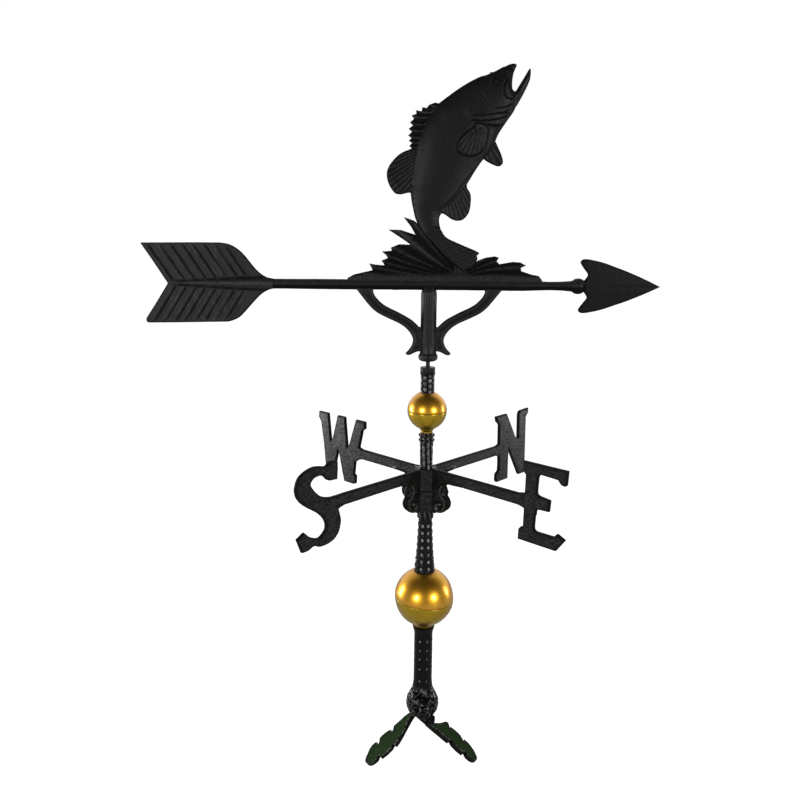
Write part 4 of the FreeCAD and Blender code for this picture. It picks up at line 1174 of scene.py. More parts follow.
    def shape_tail(self, flat: Points, edge: Points) -> Surface:
        """Rows of long scales that run out along the tail fin.

        Args:
            flat: points of the face.
            edge: how far in they lie.

        Returns:
            Height, rubbing and painted highlight, and painted shade.
        """
        slope = math.radians(-27)
        along = flat[:, 0] * math.cos(slope) + flat[:, 1] * math.sin(slope)
        aside = flat[:, 1] * math.cos(slope) - flat[:, 0] * math.sin(slope) + 0.0035 * along ** 2
        row = np.abs(np.sin(aside * 1.15))
        link = np.abs(np.sin(along * 0.62 + 1.57 * np.floor(aside * 1.15 / math.pi)))
        inner = ease(edge, 0.3, 1.6) * ease(flat[:, 0], 2.0, 12.0)
        high = crown(edge, 1.6, 4.4, 2.0) + 0.6 * (row - 0.5) * inner + 0.25 * link * inner
        return high, row ** 2 * link * 0.45 * inner, (1 - row) ** 2 * inner * 0.9

    def shape_splash(self, flat: Points, edge: Points) -> Surface:
        """Reeds: ribs that fan out from two roots, deeper towards the middle.

        Args:
            flat: points of the face.
            edge: how far in they lie.

        Returns:
            Height, rubbing and painted highlight, and painted shade.
        """
        left = flat[:, 0] < 36
        across = flat[:, 0] - np.where(left, 34.0, 30.0)
        rise = flat[:, 1] - np.where(left, 2.0, 1.0)
        reach = np.hypot(across, rise)
        angle = np.arctan2(rise, np.abs(across) + 1e-6)
        angle = angle + np.where(left, -0.0012, 0.0028) * reach
        wave = np.where(left, angle * 24.0 + 2.2 * np.sin(angle * 6), angle * 17.0)
        rib = 1 - np.abs(np.sin(wave))
        fine = np.abs(np.sin(wave * 2.5 + 0.7))
        fade = ease(edge, 0.1, 1.6) * ease(reach, 4.0, 18.0)
        fade = fade * ease(flat[:, 1], 2.5, 8.0)
        high = crown(edge, 0.9, 3.2, 2.4) + (2.4 * (rib - 0.4) + 0.4 * (fine - 0.5)) * fade
        base = ease(5.5 - flat[:, 1], 0.0, 4.0)
        high = high * (1 - base) + 3.9 * base + 0.12 * flat_noise(flat, 3.0, 12)
        wear_and_highlight = np.maximum(rib ** 2 * 0.75 * fade, 0.35 * base)
        return high, wear_and_highlight, np.clip((1 - rib) ** 1.5 * fade * 1.3, 0, 1)

    def shape_spiny(self, flat: Points, edge: Points) -> Surface:
        """Spines: one curved ridge to each point of the fin.

        Args:
            flat: points of the face.
            edge: how far in they lie.

        Returns:
            Height, rubbing and painted highlight, and painted shade.
        """
        near = np.full(len(flat), 1e9)
        for u, v in self.tips:
            line = ((u, v - 0.4), (u + 6, v - 2.4), (u + 14, v - 2.6), (u + 22, v - 1.0))
            near = np.minimum(near, line_distance(flat, line)[0])
        ridge = bell(near, 1.15)
        high = crown(edge, 0.6, 1.9, 1.0) + 1.7 * ridge * ease(edge, 0.0, 0.8)
        return high, ridge ** 2 * 0.9, (1 - ridge) ** 1.2 * 0.95

    def shape_mouth(self, flat: Points, edge: Points) -> Surface:
        """Jaw and snout relief that meets the head.

        Args:
            flat: points of the face.
            edge: how far in they lie.

        Returns:
            Height, rubbing and painted highlight, and painted shade.
        """
        high = np.maximum(crown(edge, 1.0, 3.1, 2.6), self.body_height(flat) * (edge > 0.5))
        high = np.minimum(high, 4.6) + 0.08 * flat_noise(flat, 2.0, 8)
        return self.jaw_line.carve(flat, (high, np.zeros(len(flat)), np.zeros(len(flat))))

    def build(self) -> None:
        """Builds the bass and its reeds."""
        plane = Plane(origin=(0, 0, self.foot))
        pad = MeshPad()
        outline = curve(self.back, 4) + curve(self.belly, 4)[::-1]
        lines = [curve(groove.line, 4) for groove in self.grooves]
        ring = curve(self.pectoral, 3, closed=True)
        body = Relief([outline], 1.3, FINE_RIM, lines + [ring + ring[:1]], 0.6)
        body.onto(pad, plane, self.shape_body)
        for outline in (self.jaw, self.snout):
            part = Relief([curve(outline, 4, closed=True)], 1.2, FINE_RIM,
                          [curve(self.jaw_line.line, 3)], 0.6)
            part.onto(pad, plane, self.shape_mouth)
        pad.piece("bass_body", BLACK_FISH, "arrow", "cast_black", ["bass_ornament"])

        fins = MeshPad()
        for outline, hub, count in ((self.soft_dorsal, (14.0, 141.0), 45.0),
                                    (self.pelvic, (50.0, 150.0), 16.0),
                                    (self.anal, (7.6, 135.0), 50.0)):
            relief = Relief([curve(outline, 4, closed=True)], 0.95, (0.35, 0.9))
            relief.onto(fins, plane, self.fin_shape(hub, count, self.fin_half))
        relief = Relief([curve(self.tail, 4, closed=True)], 0.8, (0.35, 0.9))
        relief.onto(fins, plane, self.shape_tail)
        Relief([self.spiny], 0.75, (0.3,)).onto(fins, plane, self.shape_spiny)
        fins.piece("bass_fins", BLACK_FISH, "arrow", "cast_black", [])

        reeds = MeshPad()
        Relief([self.splash], 1.0, (0.4, 1.0)).onto(reeds, plane, self.shape_splash)
        reeds.piece("splash_reeds", BLACK_REED, "arrow", "cast_black", [])


# Arrow


@dataclass
class ArrowCasting:
    """Shaft, fletching, head, brackets, socket and bell, turned and cast in one."""

    shaft_z: float
    mouth_z: float
    tail_x: float
    tip_x: float
    shaft_radius: float = 5.2
    head_length: float = 86.7
    fletch_half: float = 2.1
    bracket_half: float = 3.7
    socket_radius: float = 8.6
    bell_radius: float = 10.7
    barbs_above: Sequence[float] = (34.4, 47.2, 58.9, 71.4, 82.6, 94.9, 106.4, 116.4)
    barbs_below: Sequence[float] = (37.5, 49.2, 60.4, 70.4, 81.8, 91.8, 102.9, 113.5)
    bracket: Line = (
        (86, 3), (83.9, 1.0), (78.5, 0.2), (75.4, -3.2), (69.1, -11.2), (63, -18.4),
        (55.9, -24.4), (45, -30), (33.4, -35.2), (26, -39.8), (19.9, -46.1), (17.2, -51.5),
        (16.9, -55.5), (18.4, -60.4), (21.6, -65.2), (24.6, -68.2), (23.4, -70.2), (20.2, -70.4),
        (17.6, -69.2), (14.4, -67.6), (11.6, -66.6), (8.8, -66.2), (5.2, -66), (5.2, -39),
        (9.4, -40), (12.4, -37.4), (18.1, -32.3), (26, -27.6), (34.6, -23.1), (42.6, -19.4),
        (49.6, -15.4), (54.9, -10.6), (58.4, -6.3), (60.2, -1.6), (59, 0.6), (54, 1.2), (54, 3))

    def shape_fletch(self, flat: Points, edge: Points) -> Surface:
        """Vane with slanted barb grooves on both sides of a wedge-shaped quill.

        Args:
            flat: points of the face.
            edge: how far in they lie.

        Returns:
            Height, rubbing and painted highlight, and painted shade.
        """
        away = np.abs(flat[:, 1])
        back = flat[:, 0] - self.tail_x
        slant = back + 0.65 * away
        above = np.abs(slant[:, None] - np.array(self.barbs_above)[None]).min(1)
        below = np.abs(slant[:, None] - np.array(self.barbs_below)[None]).min(1)
        near = np.where(flat[:, 1] > 0, above, below)
        quill = np.interp(back, (26, 70, 101, 132), (0.5, 3.1, 5.2, 6.4))
        ends = ease(away, 1.1 * quill + 0.6, 1.1 * quill + 3.0)
        rough = 0.55 + 0.45 * ease(flat_noise(flat * [1, 0.2], 10.0, 21), -0.6, 0.2)
        groove = bell(near, 0.95) * ends * rough * ease(edge, 1.5, 4.5)
        side = bell(near - 2.6, 1.5) * ends
        high = crown(edge, 1.2, self.fletch_half, 1.2) - 0.9 * groove + 0.3 * side
        place = away / quill
        rise = np.sqrt(np.clip(1 - place ** 2, 0, 1)) * quill * 0.85 * (back > 24)
        ditch = bell(away - quill - 0.5, 0.8) * ease(back, 26, 40)
        high = np.maximum(high - 1.0 * ditch, rise) + 0.06 * flat_noise(flat, 2.5, 22)
        wear_and_highlight = 0.45 * side * ease(flat_noise(flat * [1, 0.3], 4.0, 23), -0.2, 0.8)
        # Painted highlight along the crest of the quill.
        wear_and_highlight = np.maximum(wear_and_highlight, 0.4 * np.clip(1 - place, 0, 1))
        return high, wear_and_highlight, np.clip(groove * 1.4 + ditch, 0, 1)

    def shape_head(self, flat: Points, edge: Points) -> Surface:
        """Blade with a faint midline and a bevelled edge.

        Args:
            flat: points of the face.
            edge: how far in they lie.

        Returns:
            Height, rubbing and painted highlight, and painted shade.
        """
        away = np.abs(flat[:, 1])
        high = crown(edge, 0.8, 2.3, 2.0) + 0.8 * bell(away, 12.0)
        reach = ease(flat[:, 0] - self.tip_x, -70, -50)
        line = bell(away, 1.0) * reach
        high = high - 0.25 * line + 0.06 * flat_noise(flat, 3.0, 31)
        return high, np.zeros(len(flat)), 0.4 * line

    def shape_bracket(self, flat: Points, edge: Points) -> Surface:
        """Rounded bar with a groove along its middle.

        Args:
            flat: points of the face.
            edge: how far in they lie.

        Returns:
            Height, rubbing and painted highlight, and painted shade.
        """
        high = crown(edge, 1.2, self.bracket_half, 3.0)
        groove = bell(edge - 4.6, 1.25) * ease(-flat[:, 1], 2.0, 8.0)
        high = high - 0.9 * groove + 0.08 * flat_noise(flat, 2.4, 33)
        return high, bell(edge - 2.4, 0.9) * 0.3, groove * 0.7

    def fletch_outline(self) -> list[Spot]:
        """Outline of the vane, about the shaft's axis.

        Returns:
            The outline.
        """
        back = self.tail_x
        upper = [(0, 41.4), (1.0, 42.1), (60, 42.8)]
        upper += curve([(84, 42.8), (93.5, 41.2), (102.5, 36.4), (110, 29.4),
                        (122, 14.6), (131.4, 7.6), (141, 5.0)], 5)
        lower = curve([(141, -5.0), (134, -7.0), (126, -11.8), (116.5, -21.4),
                       (107.2, -31.6), (101.4, -36.8), (94, -40.2), (89, -41.2)], 5)
        lower += [(36, -42.4), (4, -42.9), (1.6, -42.0), (1.0, -40.0), (1.6, -37.6),
                  (13.4, -20.6), (26.6, -0.4), (13.6, 20.5)]
        return [(back + u, v) for u, v in upper + lower]

    def head_outline(self) -> list[Spot]:
        """Outline of the head, about the shaft's axis.

        Returns:
            The outline.
        """
        start = self.tip_x - self.head_length
        side = curve([(4.5, 5), (7.4, 9.0), (8.8, 11.4), (8.0, 14), (4.8, 18), (1.6, 22.4),
                      (0.2, 25.6), (2.2, 28.2), (6, 28.7), (12, 27.9), (24.8, 25.0),
                      (39.5, 19.9), (49.4, 16.4), (63.7, 10.6), (75, 5.6)], 4)
        upper = [(start + u, v) for u, v in side]
        return upper + [(self.tip_x, 0.0)] + [(u, -v) for u, v in upper[::-1]]

    def shaft_skin(self, turn: Points, height: Points, radius: Points) -> Surface:
        """Slight lumps along the shaft, a flat on top of it, a painted highlight along its upper
        side and painted shade on its flanks below.

        Args:
            turn: angles round the axis.
            height: places along the axis.
            radius: distances from the axis.

        Returns:
            Change of radius, rubbing and painted highlight, and painted shade.
        """
        spots = np.column_stack([height, radius * np.cos(turn), radius * np.sin(turn)])
        change = 0.06 * value_noise(spots, 3.0, 41) + 0.12 * value_noise(spots, 30, 42)
        top = np.sin(turn)
        limit = 4.9 / np.maximum(top, 0.2)
        on_flat = (height > -88) & (height < 121.5) & (top > 0.2)
        change = np.where(on_flat, np.minimum(change, limit - radius), change)
        wear_and_highlight = 0.5 * bell(top - 0.62, 0.2)
        return change, wear_and_highlight, ease(-top, -0.25, 0.35)

    def socket_skin(self, turn: Points, height: Points, radius: Points) -> Surface:
        """A faint flute up the socket's front and rear, with painted shade in it and painted
        highlight stripes beside it.

        Args:
            turn: angles round the axis.
            height: places along the axis.
            radius: distances from the axis.

        Returns:
            Change of radius, rubbing and painted highlight, and painted shade.
        """
        outer = radius > 5.6
        front = np.abs(np.abs(turn - math.pi) - math.pi / 2)
        spots = around(turn, height, radius)
        rise = height - self.mouth_z
        flute = bell(front - 0.35, 0.14) * ease(rise, 10, 18)
        change = -0.35 * flute + 0.05 * value_noise(spots, 2.6, 44)
        wear_and_highlight = 0.7 * bell(front - 0.62, 0.16)
        return np.where(outer, change, 0), wear_and_highlight * outer, flute * 0.6 * outer

    def build(self) -> None:
        """Builds the arrow."""
        middle = Plane(origin=(0, 0, self.shaft_z))
        vane = MeshPad()
        Relief([self.fletch_outline()], 1.15, (0.4, 1.0)).onto(vane, middle, self.shape_fletch)
        vane.piece("arrow_fletching", BLACK_VANE, "arrow", "cast_black", [], 60)
        head = MeshPad()
        Relief([self.head_outline()], 1.4, (0.4, 1.0, 1.8)).onto(head, middle, self.shape_head)
        head.piece("arrow_head", BLACK_HEAD, "arrow", "cast_black", [], 60)
        pad = MeshPad()
        under = Plane(origin=(0, 0, self.shaft_z - 5.5))
        for outline in (self.bracket, mirrored(self.bracket)):
            relief = Relief([curve(outline, 2, closed=True)], 1.2, (0.35, 0.9, 1.7, 2.7))
            relief.onto(pad, under, self.shape_bracket)
        neck = self.tip_x - self.head_length
        tail = self.tail_x
        shaft = [(0.05, tail + 92), (3.6, tail + 100), (4.6, tail + 120),
                 (self.shaft_radius, tail + 138), (self.shaft_radius + 0.3, -88),
                 (self.shaft_radius + 0.3, 100), (4.5, neck - 32), (4.9, neck - 18),
                 (5.7, neck - 9), (6.4, neck - 6.8), (7.8, neck - 5.2), (8.4, neck - 2.6),
                 (8.4, neck + 0.4), (7.5, neck + 3), (6.2, neck + 4.6), (3.6, neck + 6),
                 (0.05, neck + 7.5)]
        pad.add(*turned(shaft, 48, self.shaft_skin, 2.0, "x", (0, 0, self.shaft_z)))
        mouth = self.mouth_z
        bell = curve([(6.4, mouth - 0.3), (8.8, mouth + 0.6), (10.3, mouth + 2.4),
                      (self.bell_radius, mouth + 4.6), (10.2, mouth + 6.6),
                      (9.2, mouth + 8.4), (8.8, mouth + 11)], 4)
        top = self.shaft_z
        socket = [(4.7, mouth)] + bell + [(self.socket_radius, mouth + 15),
                                          (self.socket_radius, top - 12)]
        socket += curve([(self.socket_radius, top - 10), (8.2, top - 7), (6.8, top - 3.4),
                         (5.4, top - 1)], 4) + [(4.7, top - 1)]
        pad.add(*turned(socket, 72, self.socket_skin, 1.2))
        pad.piece("arrow_body", BLACK, "arrow", "cast_black", ["arrow_casting"], 48)


# Mast


class Column(Enum):
    """The textured tubes of the mast, by CAD node."""

    UPPER = "upper_column"
    MIDDLE = "middle_column"
    LOWER = "lower_column"
    BASE = "base_column"


@dataclass
class Mast:
    """Columns, with chains of beads or single knobs, between the globes and the hub."""

    bore: float = 5.0

    @staticmethod
    def span(column: Column) -> tuple[float, float]:
        """Lowest and highest point of a column, in millimetres."""
        low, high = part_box(column.value)
        return low.z / MM, high.z / MM

    @staticmethod
    def knobs(rows: Sequence[float], half: Spot, tall: float, seed: int, lean: float = 0.0,
              between: float = 0.0, links: bool = False) -> Skin:
        """Eight upright rows of raised knobs.

        Args:
            rows: the heights of the knobs.
            half: half width and half height of a knob.
            tall: how far a knob stands out.
            seed: which lumps the tube has.
            lean: how far the rows turn for each millimetre of height.
            between: how deep the groove between two rows is.
            links: whether every other row is moved up by half a step.

        Returns:
            The skin of the tube.
        """
        levels = np.array(rows, float)
        step = math.pi / 4

        def skin(turn: Points, height: Points, radius: Points) -> Surface:
            """Change of radius, rubbing and painted highlight, and painted shade of the knobbed
            tube.

            Args:
                turn: angles round the axis.
                height: places along the axis.
                radius: distances from the axis.

            Returns:
                Change of radius, rubbing and painted highlight, and painted shade.
            """
            place = (turn + math.pi / 2 + lean * (height - levels[0])) / step - 0.5
            nearest = np.round(place)
            moved = height
            if links:
                moved = height + (nearest % 2) * (levels[1] - levels[0]) / 2
            rise = np.abs(moved[:, None] - levels[None]).min(1) / half[1]
            aside = (place - nearest) * step * radius / half[0]
            gap = np.hypot(rise, aside)
            knob = np.sqrt(np.maximum(1 - gap ** 2, 0))
            ditch = bell(gap - 1.2, 0.3)
            seam = bell(np.abs(place - nearest) - 0.5, 0.09) * between
            spots = around(turn, height, radius)
            lumps = value_noise(spots, 2.0, seed)
            outer = radius > 6.4
            change = tall * knob - 0.25 * ditch - seam + 0.14 * lumps
            # Painted highlight on the knob tops; painted shade in the ditches and seams.
            deep = np.clip(ditch * 0.8 + seam, 0, 1)
            return np.where(outer, change, 0), knob ** 2.2 * outer, deep * outer

        return skin

    def tube(self, pad: MeshPad, profile: Line, skin: Skin) -> None:
        """Adds a tube round the rod whose outside follows a profile."""
        line = [(self.bore, profile[0][1])] + list(profile) + [(self.bore, profile[-1][1])]
        pad.add(*turned(line, 136, skin, 0.5))

    def build_upper(self) -> None:
        """Beaded tube under the pin's collar."""
        low, high = self.span(Column.UPPER)
        pad = MeshPad()
        skin = self.knobs(np.arange(low + 1, high + 6, 6.3), (2.3, 2.9), 0.9, 51, 0.004, 0.7, True)
        self.tube(pad, [(7.1, low), (7.2, low + 3), (7.1, high - 3.4)], skin)
        pad.piece("upper_bark", BLACK_BEAD, "mast", "cast_black", [Column.UPPER.value])
        collar = MeshPad()
        self.tube(collar, curve([(6.9, high - 4.2), (8.0, high - 3.5), (8.3, high - 2.0),
                                 (8.0, high - 0.6), (7.0, high)], 4), self.ring_skin)
        collar.piece("upper_collar", BLACK_FISH, "mast", "cast_black", [])

    def build_middle(self) -> None:
        """Beaded tube with two rings at its top."""
        low, high = self.span(Column.MIDDLE)
        pad = MeshPad()
        skin = self.knobs(np.arange(low + 1, high + 9, 9.0), (1.9, 4.6), 0.8, 61, 0.006, 0.7, True)
        self.tube(pad, [(6.7, low), (7.1, high - 9), (7.0, high - 0.4)], skin)
        for foot, top in ((high - 10.4, high - 6.4), (high - 4.8, high - 0.6)):
            ring = curve([(7.4, foot), (8.6, foot + 0.9), (9.0, (foot + top) / 2),
                          (8.6, top - 0.9), (7.4, top)], 4)
            self.tube(pad, ring, self.ring_skin)
        pad.piece("middle_bark", BLACK_BEAD, "mast", "cast_black", [Column.MIDDLE.value])

    @staticmethod
    def ring_skin(turn: Points, height: Points, radius: Points) -> Surface:
        """Uneven beads round a ring.

        Args:
            turn: angles round the axis.
            height: places along the axis.
            radius: distances from the axis.

        Returns:
            Change of radius, rubbing and painted highlight, and painted shade.
        """
        outer = radius > 6.4
        bead = np.abs(np.sin(turn * 5 + height * 0.05))
        spots = around(turn, height, radius)
        change = 0.4 * (bead - 0.5) + 0.25 * value_noise(spots, 2.4, 66)
        # Painted highlight on the bead tops; painted shade between them.
        return np.where(outer, change, 0), bead ** 6 * 0.2 * outer, (1 - bead) * 0.9 * outer

    def build_lower(self) -> None:
        """Knobbed tube that flares onto the large globe."""
        low, high = self.span(Column.LOWER)
        pad = MeshPad()
        flare = curve([(12.0, low), (11.6, low + 2.5), (10.8, low + 10), (10.0, low + 18),
                       (9.2, low + 28), (8.5, low + 40), (7.9, low + 54), (7.7, high - 9)], 4)
        skin = self.knobs(np.arange(low + 5.5, high - 9, 8.6), (1.9, 2.6), 1.25, 71)
        self.tube(pad, flare, skin)
        collar = [(8.2, high - 9.8), (9.3, high - 8.6), (9.5, high - 6.4), (8.8, high - 5.4),
                  (9.0, high - 3), (9.0, high - 0.3)]
        self.tube(pad, collar, self.ring_skin)
        pad.piece("lower_knobs", BLACK_BARK, "mast", "cast_black", [Column.LOWER.value])

    def build(self) -> None:
        """Builds the upper, middle and lower columns."""
        self.build_upper()
        self.build_middle()
        self.build_lower()


@dataclass
class Globes:
    """Two spun globes, each of two halves with a seam, and a short neck below."""

    wall: float = 1.0
    seam: float = 0.55

    def half(self, label: str, upper: bool, radius: float, neck: float, hole: float,
             lean: float) -> None:
        """Builds one half.

        Args:
            label: large_globe or small_globe.
            upper: whether it is the upper half.
            radius: the globe's radius.
            neck: the neck's radius.
            hole: the radius of the column that stands on the globe.
            lean: how far the seam drops for each millimetre to the right.
        """
        low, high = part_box(label + "_upper")
        centre = low.z / MM
        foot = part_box(label + "_lower")[0].z / MM
        top = high.z / MM
        sign = 1 if upper else -1
        start = math.asin(0.7 / radius)
        end = math.acos((hole if upper else neck + 1.0) / radius)
        line: list[Spot] = [(radius - self.seam, centre + sign * 0.02),
                            (radius - 0.12, centre + sign * 0.35)]
        for step in range(33):
            angle = start + (end - start) * step / 32
            line.append((radius * math.cos(angle), centre + sign * radius * math.sin(angle)))
        inner = [(radius * 0.8, centre + sign * radius * 0.4), (radius - 2.0, centre + sign * 0.02)]
        if upper:
            profile = line[:-1] + [(hole, top), (hole - 1.5, top - self.wall)] + inner
        else:
            last = line[-1][1]
            profile = line + [(neck + 0.35, last - 0.9), (neck, last - 2.2), (neck, foot + 0.6),
                              (neck - 0.5, foot + 0.05), (neck - 1.4, foot + 0.05)] + inner
            profile = profile[::-1]
        pad = MeshPad()

        def skin(turn: Points, height: Points, size: Points) -> Surface:
            """A darker seam, and painted shade at the half's top and foot, where other parts meet
            it.

            Args:
                turn: angles round the axis.
                height: places along the axis.
                size: distances from the axis.

            Returns:
                Change of radius, rubbing and painted highlight (none here), and painted shade.
            """
            gap = np.abs(height - centre)
            deep = bell(gap, 0.45) * 0.9
            ends = np.minimum(np.abs(height - top), np.abs(height - foot))
            return (np.zeros(len(turn)), np.zeros(len(turn)),
                    np.maximum(deep, bell(ends, 1.4) * 0.6))

        points, faces, wear_and_highlight, deep = turned(profile, 160, skin, 1.6)
        near = bell(points[:, 2] - centre, 13)
        points[:, 2] -= lean * points[:, 0] * near
        pad.add(points, faces, wear_and_highlight, deep)
        side = "upper" if upper else "lower"
        pad.piece("%s_%s_shell" % (label, side), GOLD_UPPER if upper else GOLD_LOWER_SHADED, "mast",
                  "gold", ["%s_%s" % (label, side)], 50)

    def build(self) -> None:
        """Builds both globes."""
        for upper in (True, False):
            self.half("large_globe", upper, 34.5, 10.8, 10.7, 0.07)
            self.half("small_globe", upper, 22.0, 6.4, 7.7, 0.0)


# Direction letters


def prism(pad: MeshPad, plan: Line, low: float, high: float, shade_amount: float = 0.0) -> None:
    """Adds an upright block with soft edges.

    Args:
        pad: what collects the block.
        plan: its outline from above, anticlockwise.
        low: its underside.
        high: its top.
        shade_amount: how much painted shade the block takes, from 0 to 1.
    """
    ring = divided(plan, 1.0)
    centre = ring.mean(0)
    levels = [(low, 0.9), (low + 0.5, 1.0)]
    levels += [(level, 1.0) for level in np.arange(low + 3, high - 2, 3.0)]
    levels += [(high - 0.5, 1.0), (high, 0.9)]
    count = len(ring)
    rows = [np.column_stack([centre + (ring - centre) * size, np.full(count, level)])
            for level, size in levels]
    points = np.vstack(rows + [[(*centre, low)], [(*centre, high)]])
    points[:-2, :2] += 0.06 * flat_noise(points[:-2, 1:] * 1.3, 2.2, 84)[:, None]
    faces: list[Sequence[int]] = []
    for index in range(count):
        beside = (index + 1) % count
        for row in range(len(levels) - 1):
            start = row * count
            faces.append((start + index, start + beside, start + count + beside,
                          start + count + index))
        faces.append((beside, index, len(points) - 2))
        last = (len(levels) - 1) * count
        faces.append((last + index, last + beside, len(points) - 1))
    pad.add(points, faces, None, np.full(len(points), shade_amount))


@dataclass
class Directional:
    """One casting with two letters, their arms, leaf scrolls and its share of the hub."""

    name: str
    node: str
    turn: float
    low: float
    posts: Sequence[float]
    upper: bool
    right: Sequence[Line]
    left: Sequence[Line]
    half: float = 2.2
    hub_height: float = 50.0
    hub_half: float = 10.8
    notch: float = 6.5
    scroll: Line = (
        (3, 50), (36, 50), (36, 38.8), (31.4, 38.2), (29.4, 35.4), (31.4, 32.4), (32.9, 29),
        (32.2, 26.6), (32.2, 24.6), (34.6, 21.8), (36.4, 18.6), (36.7, 15.2), (35.6, 11.6),
        (33.4, 8.8), (31, 6.8), (27.6, 4), (23.8, 2), (19.4, 1.2), (14.9, 1), (3, 1))
    band: Line = (
        (52, 39.6), (44, 39.6), (36, 38.8), (29.4, 36.8), (25.2, 33.8), (22.6, 29.6), (22.8, 25.6),
        (25.4, 21.6), (28.6, 18.4), (29.8, 14.4), (29, 9.8), (26.4, 6), (22.2, 4.2), (18.6, 5.8),
        (17.6, 9.4), (19.6, 12.4), (22.8, 12))
    lobe: Line = ((32.4, 36.4), (29.6, 33), (27.4, 29.4), (27.6, 26), (30, 23.6))

    def shape(self, flat: Points, edge: Points) -> Surface:
        """Flat letters and arms, with curled leaves beside the hub.

        Args:
            flat: points of the face.
            edge: how far in they lie.

        Returns:
            Height, rubbing and painted highlight, and painted shade.
        """
        high = crown(edge, 1.4, self.half, 1.0)
        folded = np.column_stack([np.abs(flat[:, 0]), flat[:, 1]])
        reach = folded[:, 0]
        leaf = ease(40 - reach, 0.0, 4.0) * ease(39.5 - flat[:, 1], 0.0, 3.0)
        leaf = leaf * ease(reach, 13.5, 16.0)
        main = line_distance(folded, curve(self.band, 5))[0]
        side = line_distance(folded, curve(self.lobe, 5))[0]
        ridge = bell(main, 1.5) * ease(54 - reach, 0, 12)
        ridge = ridge * ease(reach, 13.5, 15.0)
        vein = bell(side, 0.9) * leaf
        ditch = (bell(main - 3.0, 1.0) + 0.6 * bell(side - 1.9, 0.8))
        ditch = ditch * leaf
        high = high + 1.9 * ridge + 0.8 * vein - 0.8 * ditch + 0.05 * flat_noise(flat, 2.2, 81)
        # Painted highlight on the scroll ridges and veins; painted shade in the ditches.
        wear_and_highlight = np.maximum(0.9 * ridge * ease(40 - reach, -4, 6), 0.6 * vein)
        return high, wear_and_highlight, np.clip(1.3 * ditch, 0, 1)

    def build(self) -> None:
        """Builds the casting."""
        angle = math.radians(self.turn)
        plane = Plane((math.cos(angle), math.sin(angle), 0.0), (0.0, 0.0, 1.0),
                      (0.0, 0.0, self.low))
        outlines = [list(outline) for outline in self.right]
        outlines += [mirrored(outline) for outline in self.left]
        outlines += [self.scroll, mirrored(self.scroll)]
        pad = MeshPad()
        Relief(outlines, 1.5, (0.35, 0.95, 1.7), rim_shade_width=2.3).onto(pad, plane, self.shape)
        middle = self.low + self.hub_height / 2
        top = self.low + self.hub_height
        span = (middle + 0.3, top) if self.upper else (self.low, middle - 0.3)
        wide, slim = self.hub_half, self.notch
        for left, right, half in ((-slim, slim, wide), (-wide, -slim, slim), (slim, wide, slim)):
            prism(pad, [(left, -half), (right, -half), (right, half), (left, half)], *span)
        for turn in self.posts:
            spin = math.radians(turn)
            corner = [(6.9, -10.9), (9.8, -13.0), (13.0, -9.8), (10.9, -6.9), (6.9, -6.9)]
            plan = [(x * math.cos(spin) - y * math.sin(spin),
                     x * math.sin(spin) + y * math.cos(spin)) for x, y in corner]
            # The corner posts take painted shade.
            prism(pad, plan, self.low, top, 0.6)
        pad.piece(self.name, BLACK_GRAIN, "mast", "cast_black", [self.node], 35)


